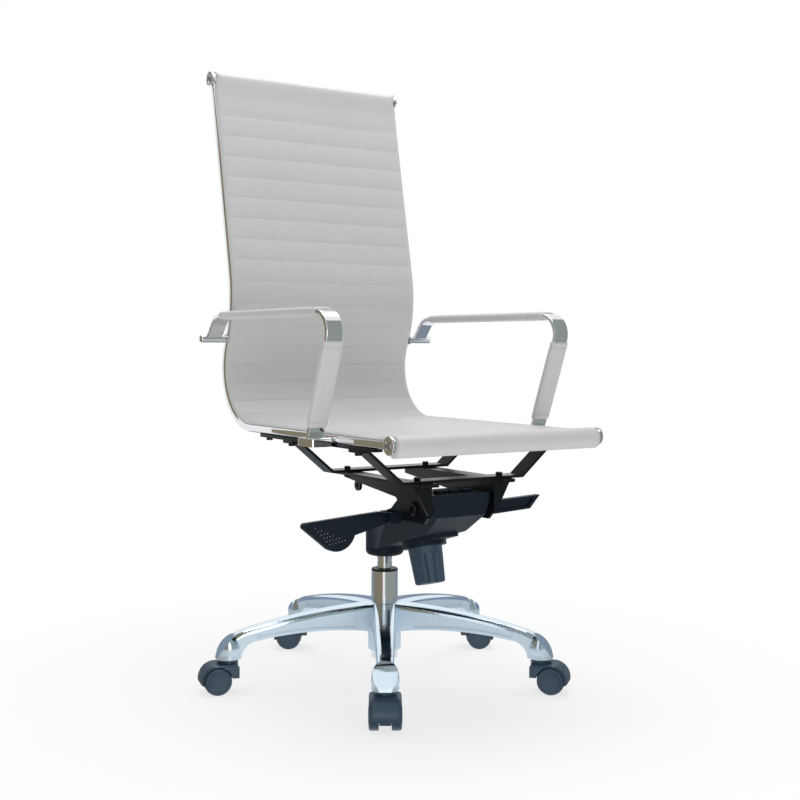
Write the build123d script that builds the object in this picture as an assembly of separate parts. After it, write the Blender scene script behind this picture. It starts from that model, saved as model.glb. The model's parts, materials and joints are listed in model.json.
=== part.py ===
from build123d import *
import os
from math import cos, radians, sin, tan

# The floor is z = 0, the chair faces -y and the column stands on the z axis. Millimetres.

# Fits
RUNNING = 0.06          # radial clearance of a turning or sliding fit
CLEAR = 0.4             # gap between pieces that pass each other

# Side rails and the sling between them
HALF_WIDTH = 217.0      # middle of the chair to the outside of an end cap
CAP_THICK = 4.0
CAP_RADIUS = 15.5
RAIL_WIDE = 12.0
RAIL_REAR = -8.0        # depth of the rail behind its centre line
RAIL_FRONT = 7.0        # depth of the rail in front of its centre line
RAIL_ROUND = 5.0
EYE_RADIUS = 12.0
SEAT_Z = 476.0
FRONT_Y = -352.0
SEAT_RUN = 502.0
SEAT_BEND_RADIUS = 112.0
SEAT_BEND_TURN = 115.0
LUMBAR_RADIUS = 229.0
RECLINE = 11.5
BACK_RUN = 390.0
ROLL_RADIUS = 15.5
FRONT_ROLL_RADIUS = 18.0
FRONT_ROLL_DROP = 2.5   # the cover hangs this much lower round the front bar
ROLL_INSET = 9.0        # outside of a cap to the end of the cover round a roll
CROSS_BAR_RADIUS = 10.0
CAP_SCREW_RADIUS = 3.0
CAP_SCREW_DEEP = 20.0
CAP_DISH_RADIUS = 9.0
CAP_DISH_DEEP = 1.5
SLING_REAR = -2.0
SLING_FACE = 10.5       # depth of a sewn channel in front of the centre line
RIB_CROWN = 4.0
RIB_COUNT = 27
PLAIN_END = 64.0        # smooth stretch between a roll and the first channel
COVER_OVERLAP = 10.0    # how far the cover lies over the front of a rail

# Arms
ARM_CENTRE = 240.0
ARM_WIDE = 32.0
ARM_THICK = 8.0
ARM_PIN_Y = 246.0
ARM_PIN_DROP = 43.5     # level part of the arm down to its rear pin
ARM_PIN_RADIUS = 8.0
ARM_PIN_OVERHANG = 14.0
ARM_TOP_Z = 688.5
ARM_REAR_SLOPE = 50.0
ARM_REAR_RADIUS = 48.0
ARM_CORNER_Y = -239.0
ARM_CORNER_RADIUS = 35.0
POST_LEAN = 21.0
FOOT_LOW = 463.0
FOOT_HIGH = 478.0
FOOT_LONG = 50.0
SLEEVE_WIDE = 37.0
SLEEVE_THICK = 16.0
POST_SLEEVE_LOW = 496.0
ARM_SCREW_RADIUS = 2.5

# Straps and strips under the seat
STRIP_THICK = 6.0
STRIP_WIDE = 17.5
STRIP_INSET = 1.0
STRIP_REAR = 107.0
STRIP_FRONT = -301.0
STRAP_THICK = 5.0
STRAP_WIDE = 35.0
STRAP_FLAT = 126.0
STRAP_FLAT_Z = 400.0
STRAP_KNEE_INSET = 7.0
STRAP_TIP_REACH = 11.0
FRONT_STRAP_Y = -240.0
REAR_STRAP_Y = -8.0
STRAP_BOLT_INSET = 21.0
STRAP_BOLT_RADIUS = 4.0
BOLT_HEAD_RADIUS = 6.0
BOLT_HEAD_THICK = 5.0
NUT_RADIUS = 6.5

# Tilt mechanism
PIVOT_Y = -206.0
PIVOT_Z = 352.0
PIVOT_RADIUS = 8.0
PIVOT_HEAD_RADIUS = 12.0
CARRIER_GAP = 4.0
CARRIER_THICK = 5.0
CARRIER_JOINT = -148.0  # where a carrier meets its pivot plate
CARRIER_REAR = 32.0
FLANGE_WIDE = 35.0
FLANGE_FRONT = -275.0
FLANGE_REAR = 38.0
FLANGE_ROUND = 10.0
EAR_Y = -16.0
EAR_DROP = 26.0
EAR_RADIUS = 10.0
EAR_HOLE_RADIUS = 4.0
PLATE_FRONT = -250.0
PLATE_DROP = 24.0       # pivot plate below the tilt bolt
GUSSET_WIDE = 7.0
HOUSING_HALF = 62.0
HOUSING_FRONT = -245.0
HOUSING_TOP = 377.0
HOUSING_REAR_Z = 312.0
HOUSING_WAIST = ((-60.0, 326.0), (-118.0, 342.0))
HOUSING_CREST_Y = -160.0
HOUSING_TAPER_Y = -100.0
HOUSING_NECK_Y = -26.0
HOUSING_NOSE = (-203.0, 338.0)  # where the nose leaves the underside, and its upper edge
HOUSING_NECK_ROUND = 100.0
HOUSING_BEVEL = (20.0, 45.0)  # bevel along the underside, across and up
CUP_RADIUS = 36.0
CUP_LOW = 237.0
UNDER_SLOPE = 16.0
UNDER_Y = -30.0
UNDER_Z = 254.0
KNOB_Y = -132.0
SKIRT_RADIUS = 40.0
SKIRT_THICK = 14.0
KNOB_TOP_RADIUS = 31.0
KNOB_END_RADIUS = 27.0
KNOB_LONG = 66.0
KNOB_FLUTES = 8
SPINDLE_RADIUS = 6.0
CHAMBER_RADIUS = 20.0
CHAMBER_DEEP = 40.0
LEVER_Y = -125.0
LEVER_Z = 328.0
LEVER_OUT = 9.0         # lever axis beyond the side of the housing
LEVER_EYE_RADIUS = 8.0
LEVER_PIN_RADIUS = 4.0
LEVER_THICK = 13.0
CHEEK_THICK = 6.0
CHEEK_GAP = 24.0

# Column
STAND_RADIUS = 25.0
STAND_INSIDE = 23.5
STAND_LOW = 42.0
STAND_FLOOR = 4.0
BUSH_LOW = 140.0
BUSH_TOP = 211.0
BUSH_RIM = 4.0
TUBE_RADIUS = 14.0
TUBE_WALL = 2.0
TUBE_LOW = 80.0
TUBE_TOP = 300.0
GLAND = 10.0
ROD_RADIUS = 5.0
BEARING_THICK = 6.0
PISTON_LOW = 172.0
PISTON_THICK = 14.0

# Star base and casters
LEG_COUNT = 5
LEG_TURN = -122.0       # direction of the first leg, seen from above, from +x
STEM_CIRCLE = 301.0
FOOT_BOTTOM = 62.0
FOOT_RADIUS = 24.0
HUB_RADIUS = 31.0
HUB_LOW = 58.0
HUB_TOP = 147.0
STEM_RADIUS = 5.5
WHEEL_RADIUS = 25.0
WHEEL_INSIDE = 10.6
WHEEL_OUTSIDE = 27.5
CASTER_TRAIL = 22.0
CASTER_TURNS = (0.0, 0.0, -54.0, 54.0, 0.0)  # each caster from its outward direction
AXLE_RADIUS = 3.0
AXLE_HALF = 25.0
HOOD_RADIUS = 30.0
HOOD_HALF = 27.5
HOOD_ROUND = 8.0
WEB_HALF = 10.0
NECK_RADIUS = 18.5
NECK_TOP = 61.5

RAIL_OUTSIDE = HALF_WIDTH - CAP_THICK
RAIL_INSIDE = RAIL_OUTSIDE - RAIL_WIDE
ROLL_HALF = HALF_WIDTH - ROLL_INSET
RAIL_LOW = SEAT_Z + RAIL_REAR
STRIP_LOW = RAIL_LOW - STRIP_THICK
STRIP_X = RAIL_OUTSIDE - STRIP_INSET - STRIP_WIDE / 2
STRAP_KNEE = RAIL_INSIDE - STRAP_KNEE_INSET
STRAP_TIP = RAIL_INSIDE + STRAP_TIP_REACH
CARRIER_TOP = STRAP_FLAT_Z
CARRIER_INSIDE = HOUSING_HALF + CARRIER_GAP
CARRIER_OUTSIDE = CARRIER_INSIDE + CARRIER_THICK
FLANGE_OUTSIDE = CARRIER_INSIDE + FLANGE_WIDE
FLANGE_LOW = CARRIER_TOP - CARRIER_THICK
STRAP_BOLT_X = CARRIER_INSIDE + STRAP_BOLT_INSET
LEVER_X = HOUSING_HALF + LEVER_OUT
ARM_PIN_Z = ARM_TOP_Z - ARM_PIN_DROP


def bend(radius, turn):
    """A round stretch of a side-view curve: its length and its turn in degrees."""
    return (radius * radians(abs(turn)), turn)


# A curve is its start, its first heading in degrees from +y towards +z, and its stretches.
RAIL = (
    (FRONT_Y, SEAT_Z),
    0.0,
    [
        (SEAT_RUN, 0.0),
        bend(SEAT_BEND_RADIUS, SEAT_BEND_TURN),
        bend(LUMBAR_RADIUS, 90.0 - RECLINE - SEAT_BEND_TURN),
        (BACK_RUN, 0.0),
    ],
)
ARM_RISE = ARM_PIN_DROP - ARM_REAR_RADIUS * (1 - cos(radians(ARM_REAR_SLOPE)))
ARM_STUB = ARM_RISE / sin(radians(ARM_REAR_SLOPE))
ARM_STUB_Y = ARM_PIN_Y - ARM_STUB * cos(radians(ARM_REAR_SLOPE))
ARM_BEND_Y = ARM_STUB_Y - ARM_REAR_RADIUS * sin(radians(ARM_REAR_SLOPE))
CORNER_TURN = 90.0 + POST_LEAN
CORNER_REACH = ARM_CORNER_RADIUS * tan(radians(CORNER_TURN / 2))
ARM_RUN = ARM_BEND_Y - ARM_CORNER_Y - CORNER_REACH
POST_TOP_Z = ARM_TOP_Z - CORNER_REACH * cos(radians(POST_LEAN))
POST_RUN = (POST_TOP_Z - (FOOT_LOW + FOOT_HIGH) / 2) / cos(radians(POST_LEAN))
POST_SLEEVE_RUN = (POST_TOP_Z - POST_SLEEVE_LOW) / cos(radians(POST_LEAN))
FOOT_Y = ARM_CORNER_Y + (ARM_TOP_Z - FOOT_LOW) * tan(radians(POST_LEAN))
ARM = (
    (ARM_PIN_Y, ARM_PIN_Z),
    180.0 - ARM_REAR_SLOPE,
    [
        (ARM_STUB, 0.0),
        bend(ARM_REAR_RADIUS, ARM_REAR_SLOPE),
        (ARM_RUN, 0.0),
        bend(ARM_CORNER_RADIUS, CORNER_TURN),
        (POST_RUN, 0.0),
    ],
)


def curve_long(curve):
    """Length of a side-view curve."""
    return sum(length for length, turn in curve[2])


def curve_point(curve, along, offset):
    """Point of a curve in the side view, moved off it to the left of its travel."""
    (y, z), heading, runs = curve
    for length, turn in runs:
        step = min(along, length)
        before = radians(heading)
        heading += turn * step / length
        after = radians(heading)
        if turn:
            radius = length / radians(turn)
            y += radius * (sin(after) - sin(before))
            z -= radius * (cos(after) - cos(before))
        else:
            y += step * cos(before)
            z += step * sin(before)
        along -= step
        if along <= 0:
            break
    side = radians(heading)
    return (y - offset * sin(side), z + offset * cos(side))


def curve_edges(curve, start, stop, offset):
    """Lines and arcs of a curve between two distances along it."""
    edges = []
    reached = 0.0
    for length, turn in curve[2]:
        first = max(start, reached)
        last = min(stop, reached + length)
        reached += length
        if last - first < 0.01:
            continue
        head = curve_point(curve, first, offset)
        tail = curve_point(curve, last, offset)
        if turn:
            middle = curve_point(curve, (first + last) / 2, offset)
            edges.append(ThreePointArc(head, middle, tail))
        else:
            edges.append(Line(head, tail))
    return edges


def band_face(curve, start, stop, right, left):
    """Strip of the side view between two offsets of a curve."""
    edges = curve_edges(curve, start, stop, left)
    edges += curve_edges(curve, start, stop, right)
    for along in (start, stop):
        edges.append(Line(curve_point(curve, along, right), curve_point(curve, along, left)))
    return make_face(edges)


def across(face, first, last):
    """A side-view face carried across the chair from x = first to x = last."""
    return Pos(first, 0, 0) * extrude(Plane.YZ * face, last - first)


def disc(centre, radius):
    """Round face in the side view."""
    return Pos(centre[0], centre[1]) * Circle(radius)


def bar(first, last, y, z, radius):
    """Round bar lying across the chair."""
    return across(disc((y, z), radius), first, last)


def post(x, y, low, high, radius):
    """Upright round bar."""
    return Pos(x, y, low) * extrude(Circle(radius), high - low)


def mirrored(part):
    """The same piece on the other side of the chair."""
    return mirror(part, Plane.YZ)


def block(x_span, y_span, z_span):
    """Box between three pairs of coordinates."""
    size = [last - first for first, last in (x_span, y_span, z_span)]
    middle = [(first + last) / 2 for first, last in (x_span, y_span, z_span)]
    return Pos(*middle) * Box(*size)


def round_long_edges(part, radius):
    """Rounds the edges of a band that was carried across the chair."""
    faces = part.faces().filter_by(Axis.X)
    return fillet(faces.edges(), radius)


def roll_centres():
    """Side-view centres of the front roll and the top roll."""
    return [curve_point(RAIL, along, 0.0) for along in (0.0, curve_long(RAIL))]


def rail_face():
    """Side view of a rail: a bent band with a round eye at each end."""
    face = band_face(RAIL, 0.0, curve_long(RAIL), RAIL_REAR, RAIL_FRONT)
    for centre in roll_centres():
        face += disc(centre, EYE_RADIUS)
    return face


def side_rail():
    """Left rail, rounded all along."""
    rail = round_long_edges(across(rail_face(), RAIL_INSIDE, RAIL_OUTSIDE), RAIL_ROUND)
    for y, z in roll_centres():
        rail -= bar(RAIL_INSIDE, RAIL_OUTSIDE, y, z, CAP_SCREW_RADIUS)
    return rail - arm_screw_group()


def cross_bar(centre):
    """Bar inside a roll, drilled at both ends for the cap screws."""
    y, z = centre
    rod = bar(-RAIL_INSIDE, RAIL_INSIDE, y, z, CROSS_BAR_RADIUS)
    rod -= bar(RAIL_INSIDE - CAP_SCREW_DEEP, RAIL_INSIDE, y, z, CAP_SCREW_RADIUS)
    rod -= bar(-RAIL_INSIDE, CAP_SCREW_DEEP - RAIL_INSIDE, y, z, CAP_SCREW_RADIUS)
    return rod


def end_cap(centre):
    """Round cap on the left end of a roll, with a dished seat for its screw."""
    y, z = centre
    cap = bar(RAIL_OUTSIDE, HALF_WIDTH, y, z, CAP_RADIUS)
    outer = cap.faces().sort_by(Axis.X)[-1]
    cap = fillet(outer.edges(), 1.6)
    cap -= bar(HALF_WIDTH - CAP_DISH_DEEP, HALF_WIDTH, y, z, CAP_DISH_RADIUS)
    cap -= bar(RAIL_OUTSIDE, HALF_WIDTH, y, z, CAP_SCREW_RADIUS)
    return cap


def cap_screw(centre):
    """Socket screw that holds a cap, the rail and the cross bar together."""
    y, z = centre
    seat = HALF_WIDTH - CAP_DISH_DEEP
    screw = bar(RAIL_INSIDE - CAP_SCREW_DEEP, seat, y, z, CAP_SCREW_RADIUS)
    screw += bar(seat, HALF_WIDTH + 0.8, y, z, 5.5)
    screw -= across(Pos(y, z) * RegularPolygon(2.6, 6), HALF_WIDTH - 1.0, HALF_WIDTH + 0.8)
    return screw


def cover_rolls():
    """Side-view discs that the cover is wrapped round; the front one hangs a little low."""
    (front_y, front_z), top = roll_centres()
    return disc((front_y, front_z - FRONT_ROLL_DROP), FRONT_ROLL_RADIUS) + disc(top, ROLL_RADIUS)


def sling():
    """Cover sewn into ribs across the seat and back, wrapped round both rolls."""
    long = curve_long(RAIL)
    pitch = (long - 2 * PLAIN_END) / RIB_COUNT
    seams = [PLAIN_END + pitch * count for count in range(RIB_COUNT + 1)]
    edges = curve_edges(RAIL, 0.0, seams[0], SLING_FACE)
    for head, tail in zip(seams, seams[1:]):
        top = curve_point(RAIL, (head + tail) / 2, SLING_FACE + RIB_CROWN)
        start = curve_point(RAIL, head, SLING_FACE)
        stop = curve_point(RAIL, tail, SLING_FACE)
        edges.append(ThreePointArc(start, top, stop))
    edges += curve_edges(RAIL, seams[-1], long, SLING_FACE)
    edges += curve_edges(RAIL, 0.0, long, RAIL_FRONT)
    for along in (0.0, long):
        start = curve_point(RAIL, along, RAIL_FRONT)
        edges.append(Line(start, curve_point(RAIL, along, SLING_FACE)))
    half_cover = RAIL_INSIDE + COVER_OVERLAP
    cover = across(make_face(edges), -half_cover, half_cover)
    panel = band_face(RAIL, 0.0, long, SLING_REAR, RAIL_FRONT)
    body = cover + across(panel, -RAIL_INSIDE, RAIL_INSIDE)
    body += across(cover_rolls(), -ROLL_HALF, ROLL_HALF)
    for y, z in roll_centres():
        body -= bar(-RAIL_INSIDE, RAIL_INSIDE, y, z, CROSS_BAR_RADIUS)
    rails = rail_face()
    body -= across(rails, RAIL_INSIDE, RAIL_OUTSIDE)
    return body - across(rails, -RAIL_OUTSIDE, -RAIL_INSIDE)


def back_stretcher():
    """Flat bar across the back of the rails at the height of the arm pins."""
    along = SEAT_RUN + SEAT_BEND_RADIUS * radians(SEAT_BEND_TURN) - 8
    face = band_face(RAIL, along - 18, along + 18, RAIL_REAR + 1, SLING_REAR)
    return across(face, -RAIL_INSIDE, RAIL_INSIDE)


def arm_frame():
    """Left arm: a bent flat band on a round pin at the rear and a foot at the front."""
    half = ARM_THICK / 2
    first = ARM_CENTRE - ARM_WIDE / 2
    last = ARM_CENTRE + ARM_WIDE / 2
    band = across(band_face(ARM, 0.0, curve_long(ARM), -half, half), first, last)
    band = round_long_edges(band, 2.5)
    pin = bar(RAIL_OUTSIDE, last + ARM_PIN_OVERHANG, ARM_PIN_Y, ARM_PIN_Z, ARM_PIN_RADIUS)
    pin = fillet(pin.faces().sort_by(Axis.X)[-1].edges(), 5.0)
    pin += bar(RAIL_OUTSIDE, RAIL_OUTSIDE + 3, ARM_PIN_Y, ARM_PIN_Z, ARM_PIN_RADIUS + 2)
    foot_span = (FOOT_Y - FOOT_LONG / 2, FOOT_Y + FOOT_LONG / 2)
    foot = block((RAIL_OUTSIDE, last + 1), foot_span, (FOOT_LOW, FOOT_HIGH))
    foot = fillet(foot.edges().filter_by(Axis.Z), 6.0)
    foot = fillet(foot.faces().sort_by(Axis.Z)[-1].edges(), 3.0)
    return band + pin + foot - arm_screw_group()


def arm_sleeve(start, stop, thick):
    """Soft sleeve round a straight stretch of the arm band."""
    half = thick / 2
    first = ARM_CENTRE - SLEEVE_WIDE / 2
    last = ARM_CENTRE + SLEEVE_WIDE / 2
    sleeve = across(band_face(ARM, start, stop, -half, half), first, last)
    faces = sleeve.faces().filter_by(Axis.X)
    long_edges = [edge for edge in faces.edges() if edge.length > thick + 1]
    return fillet(long_edges, 6.0)


def top_sleeve():
    """Sleeve on the level part of the left arm."""
    start = ARM_STUB + ARM_REAR_RADIUS * radians(ARM_REAR_SLOPE)
    return arm_sleeve(start, start + ARM_RUN, SLEEVE_THICK) - arm_frame()


def post_sleeve():
    """Sleeve on the leaning post of the left arm."""
    start = curve_long(ARM) - POST_RUN
    return arm_sleeve(start, start + POST_SLEEVE_RUN, SLEEVE_THICK - 2) - arm_frame()


def arm_screw_group():
    """Left screws from inside the rail into the arm pin and the arm foot."""
    group = Part()
    foot_z = (RAIL_LOW + FOOT_HIGH) / 2
    places = [(ARM_PIN_Y, ARM_PIN_Z), (FOOT_Y - 12, foot_z), (FOOT_Y + 12, foot_z)]
    for y, z in places:
        group += bar(RAIL_INSIDE + 2, RAIL_OUTSIDE + 12, y, z, ARM_SCREW_RADIUS)
    return group


def side_strip():
    """Left strip under the seat rail, rounded at the rear."""
    span = (STRIP_X - STRIP_WIDE / 2, STRIP_X + STRIP_WIDE / 2)
    strip = block(span, (STRIP_FRONT, STRIP_REAR), (STRIP_LOW, RAIL_LOW))
    rear = strip.edges().filter_by(Axis.Z).sort_by(Axis.Y)[-2:]
    strip = fillet(rear, STRIP_WIDE / 2 - 0.5)
    for y in (STRIP_REAR - 28, FRONT_STRAP_Y, REAR_STRAP_Y):
        strip -= post(STRIP_X, y, STRIP_LOW, RAIL_LOW, STRAP_BOLT_RADIUS)
    return strip


def strip_bolts():
    """Bolts below the side strips: one at each rear end and one through each strap end."""
    group = Part()
    for y, strap in ((STRIP_REAR - 28, 0.0), (FRONT_STRAP_Y, STRAP_THICK), (REAR_STRAP_Y, STRAP_THICK)):
        seat = STRIP_LOW - strap
        group += post(STRIP_X, y, seat, RAIL_LOW, STRAP_BOLT_RADIUS)
        group += post(STRIP_X, y, seat - BOLT_HEAD_THICK, seat, BOLT_HEAD_RADIUS)
    return group + mirrored(group)


def cross_strap(y):
    """Flat bar bent into a tray: level in the middle, raised to the strips at both ends."""
    low = STRAP_FLAT_Z
    high = STRIP_LOW - STRAP_THICK
    slope = (high - low) / (STRAP_KNEE - STRAP_FLAT)
    miter = STRAP_THICK * (((1 + slope * slope) ** 0.5 - 1) / slope)
    under = [(STRAP_FLAT + miter, low), (STRAP_KNEE + miter, high), (STRAP_TIP, high)]
    over = [(STRAP_TIP, STRIP_LOW), (STRAP_KNEE, STRIP_LOW), (STRAP_FLAT, low + STRAP_THICK)]
    half = under + over
    other = [(-x, z) for x, z in reversed(half)]
    outline = Polyline(*half, *other, close=True)
    strap = Pos(0, y + STRAP_WIDE / 2, 0) * extrude(Plane.XZ * make_face(outline), STRAP_WIDE)
    for x in (-STRIP_X, STRIP_X):
        strap -= post(x, y, high, STRIP_LOW, STRAP_BOLT_RADIUS)
    for x in (-STRAP_BOLT_X, STRAP_BOLT_X):
        strap -= post(x, y, low, low + STRAP_THICK, STRAP_BOLT_RADIUS)
    return strap


def strap_bolts():
    """Four bolts that hold the straps to the carriers."""
    group = Part()
    for y in (FRONT_STRAP_Y, REAR_STRAP_Y):
        top = STRAP_FLAT_Z + STRAP_THICK
        group += post(STRAP_BOLT_X, y, FLANGE_LOW, top, STRAP_BOLT_RADIUS)
        for seat in (top, FLANGE_LOW - BOLT_HEAD_THICK):
            group += Pos(STRAP_BOLT_X, y, seat) * extrude(RegularPolygon(NUT_RADIUS, 6), BOLT_HEAD_THICK)
    return group + mirrored(group)


def carrier_flange(front, rear, rounded_end):
    """Level flange of a left carrier, rounded at its front (0) or rear (-1) outer corner."""
    flange = block((CARRIER_INSIDE, FLANGE_OUTSIDE), (front, rear), (FLANGE_LOW, CARRIER_TOP))
    corners = flange.edges().filter_by(Axis.Z).sort_by(Axis.X)[-2:].sort_by(Axis.Y)
    flange = fillet(corners[rounded_end], FLANGE_ROUND)
    for y in (FRONT_STRAP_Y, REAR_STRAP_Y):
        flange -= post(STRAP_BOLT_X, y, FLANGE_LOW, CARRIER_TOP, STRAP_BOLT_RADIUS)
    return flange


def seat_carrier():
    """Left carrier: an upright plate with an ear, and a flange under the rear strap."""
    outline = [
        (CARRIER_REAR, CARRIER_TOP),
        (CARRIER_REAR, CARRIER_TOP - 14),
        (EAR_Y - 20, CARRIER_TOP - 22),
        (CARRIER_JOINT, CARRIER_TOP - 34),
        (CARRIER_JOINT, CARRIER_TOP),
    ]
    ear = (EAR_Y, CARRIER_TOP - EAR_DROP)
    face = make_face(Polyline(*outline, close=True)) + disc(ear, EAR_RADIUS) - disc(ear, EAR_HOLE_RADIUS)
    plate = across(face, CARRIER_INSIDE, CARRIER_OUTSIDE)
    return plate + carrier_flange(CARRIER_JOINT, FLANGE_REAR, -1)


def pivot_plate():
    """Left pivot plate: hangs round the tilt bolt, with a flange and a tapered gusset in front."""
    low = PIVOT_Z - PLATE_DROP
    outline = [
        (CARRIER_JOINT, CARRIER_TOP),
        (CARRIER_JOINT, CARRIER_TOP - 34),
        (CARRIER_JOINT - 16, CARRIER_TOP - 50),
        (CARRIER_JOINT - 20, low),
        (PLATE_FRONT + 14, low),
        (PLATE_FRONT + 3, low + 11),
        (PLATE_FRONT, CARRIER_TOP),
    ]
    face = make_face(Polyline(*outline, close=True)) - disc((PIVOT_Y, PIVOT_Z), PIVOT_RADIUS)
    plate = across(face, CARRIER_INSIDE, CARRIER_OUTSIDE)
    taper = Polyline(
        (CARRIER_INSIDE, CARRIER_TOP),
        (FLANGE_OUTSIDE, CARRIER_TOP),
        (FLANGE_OUTSIDE, FLANGE_LOW),
        (CARRIER_INSIDE + GUSSET_WIDE, PIVOT_Z - 8),
        (CARRIER_INSIDE + GUSSET_WIDE, low + 14),
        (CARRIER_INSIDE, low + 14),
        close=True,
    )
    gusset = Pos(0, PLATE_FRONT + 1, 0) * extrude(Plane.XZ * make_face(taper), CARRIER_THICK)
    return plate + gusset + carrier_flange(FLANGE_FRONT, CARRIER_JOINT, 0)


def tilt_pivot():
    """Bolt across the mechanism that the seat tilts on."""
    last = CARRIER_OUTSIDE
    bolt = bar(-last, last, PIVOT_Y, PIVOT_Z, PIVOT_RADIUS)
    head = bar(last, last + 5, PIVOT_Y, PIVOT_Z, PIVOT_HEAD_RADIUS)
    head = chamfer(head.faces().sort_by(Axis.X)[-1].edges(), 1.5)
    head -= across(Pos(PIVOT_Y, PIVOT_Z) * RegularPolygon(5, 6), last + 2, last + 5)
    return bolt + head + mirrored(head)


def knob_place(depth):
    """Frame on the knob axis, a depth below the sloping underside, its -z along the axis."""
    slope = radians(UNDER_SLOPE)
    z = UNDER_Z + (UNDER_Y - KNOB_Y) * tan(slope)
    return Pos(0, KNOB_Y - depth * sin(slope), z - depth * cos(slope)) * Rot(X=-UNDER_SLOPE)


def bevelled_room():
    """Long block above the sloping underside, bevelled along both of its lower edges."""
    wide, high = HOUSING_BEVEL
    half = [(HOUSING_HALF - wide, 0), (HOUSING_HALF, high), (HOUSING_HALF, 200)]
    other = [(-x, z) for x, z in reversed(half)]
    section = make_face(Polyline(*half, *other, close=True))
    return knob_place(0) * Pos(0, 200, 0) * extrude(Plane.XZ * section, 400)


def mechanism_housing():
    """Boat-shaped body: a cup on the column, rising forward to the tilt bolt."""
    rise = tan(radians(UNDER_SLOPE))
    outline = [
        (CUP_RADIUS, UNDER_Z),
        (CUP_RADIUS, HOUSING_REAR_Z),
        *HOUSING_WAIST,
        (HOUSING_CREST_Y, HOUSING_TOP),
        (HOUSING_FRONT, HOUSING_TOP),
        (HOUSING_FRONT - 3, HOUSING_NOSE[1]),
        (HOUSING_NOSE[0], UNDER_Z + (UNDER_Y - HOUSING_NOSE[0]) * rise),
        (UNDER_Y, UNDER_Z),
    ]
    side = across(make_face(Polyline(*outline, close=True)), -HOUSING_HALF, HOUSING_HALF)
    plan = Polyline(
        (HOUSING_HALF, HOUSING_FRONT - 4),
        (HOUSING_HALF, HOUSING_TAPER_Y),
        (CUP_RADIUS, HOUSING_NECK_Y),
        (CUP_RADIUS, 0),
        (-CUP_RADIUS, 0),
        (-CUP_RADIUS, HOUSING_NECK_Y),
        (-HOUSING_HALF, HOUSING_TAPER_Y),
        (-HOUSING_HALF, HOUSING_FRONT - 4),
        close=True,
    )
    shape = make_face(plan)
    bends = [spot for spot in shape.vertices() if HOUSING_TAPER_Y - 1 < spot.Y < HOUSING_NECK_Y + 1]
    shape = fillet(bends, HOUSING_NECK_ROUND) + Circle(CUP_RADIUS)
    hull = side & (Pos(0, 0, CUP_LOW) * extrude(shape, 200))
    hull = hull & bevelled_room()
    cup = post(0, 0, CUP_LOW, UNDER_Z + 30, CUP_RADIUS)
    cup = fillet(cup.faces().sort_by(Axis.Z)[0].edges(), 9.0)
    hull += cup
    hull += knob_place(SKIRT_THICK) * extrude(Circle(SKIRT_RADIUS), SKIRT_THICK + 6)
    ledge = knob_place(0) * block((-26, 26), (-72, -36), (-7, 6))
    hull += ledge
    for x in (-28, 0, 28):
        hump = bar(x - 9, x + 9, HOUSING_FRONT + 22, HOUSING_TOP - 4, 10.0)
        hull += hump
    for side_sign in (-1, 1):
        for offset in (-(CHEEK_GAP + CHEEK_THICK) / 2, (CHEEK_GAP + CHEEK_THICK) / 2):
            y = LEVER_Y + offset
            span = (y - CHEEK_THICK / 2, y + CHEEK_THICK / 2)
            xs = sorted((side_sign * (HOUSING_HALF - 6), side_sign * (LEVER_X + 9)))
            cheek = block(xs, span, (LEVER_Z - 10, LEVER_Z + 10))
            hull += fillet(cheek.edges().filter_by(Axis.Y), 4.0)
    for side_sign in (-1, 1):
        pin_hole = Plane.XZ * Pos(side_sign * LEVER_X, LEVER_Z) * Circle(LEVER_PIN_RADIUS + RUNNING)
        hull -= Pos(0, LEVER_Y + 20, 0) * extrude(pin_hole, 40)
        room = Plane.XZ * Pos(side_sign * LEVER_X, LEVER_Z) * Circle(LEVER_EYE_RADIUS + 2)
        hull -= Pos(0, LEVER_Y + CHEEK_GAP / 2, 0) * extrude(room, CHEEK_GAP)
    hull -= bar(-HOUSING_HALF, HOUSING_HALF, PIVOT_Y, PIVOT_Z, PIVOT_RADIUS + RUNNING)
    hull -= post(0, 0, CUP_LOW, TUBE_TOP, TUBE_RADIUS)
    hull -= post(0, 0, TUBE_TOP, TUBE_TOP + 7, 8.0)
    hull -= knob_place(0) * extrude(Circle(CHAMBER_RADIUS), CHAMBER_DEEP)
    hull -= knob_place(SKIRT_THICK) * extrude(Circle(SPINDLE_RADIUS + RUNNING), SKIRT_THICK + 2)
    return hull


def tension_spindle():
    """Threaded spindle fixed to the knob, reaching up through the spring."""
    return knob_place(SKIRT_THICK + 30) * extrude(Circle(SPINDLE_RADIUS), SKIRT_THICK + 30 + CHAMBER_DEEP - 3)


def spring_nut():
    """Round nut that climbs the spindle and presses the spring."""
    nut = extrude(Circle(CHAMBER_RADIUS - CLEAR), 8.0)
    nut -= extrude(Circle(SPINDLE_RADIUS + RUNNING), 8.0)
    return knob_place(-8) * nut


def tension_spring():
    """Tilt spring between the nut and the roof of its chamber."""
    coil = extrude(Circle(16.0) - Circle(10.0), CHAMBER_DEEP - 16.5)
    return knob_place(-16.5) * coil


def tension_knob():
    """Fluted, tapered knob below the skirt."""
    gap = 0.5
    body = Solid.make_cone(KNOB_END_RADIUS, KNOB_TOP_RADIUS, KNOB_LONG)
    knob = fillet(Part(body.wrapped).faces().sort_by(Axis.Z)[0].edges(), 4.0)
    for count in range(KNOB_FLUTES):
        lean = Rot(Z=360.0 * count / KNOB_FLUTES) * Pos(KNOB_END_RADIUS + 4.0, 0, -1) * Rot(Y=3.5)
        knob -= lean * extrude(Circle(7.5), KNOB_LONG - 12)
    knob -= Pos(0, 0, KNOB_LONG - (30 - gap)) * extrude(Circle(SPINDLE_RADIUS), 30 - gap)
    return knob_place(SKIRT_THICK + gap + KNOB_LONG) * knob


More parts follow.
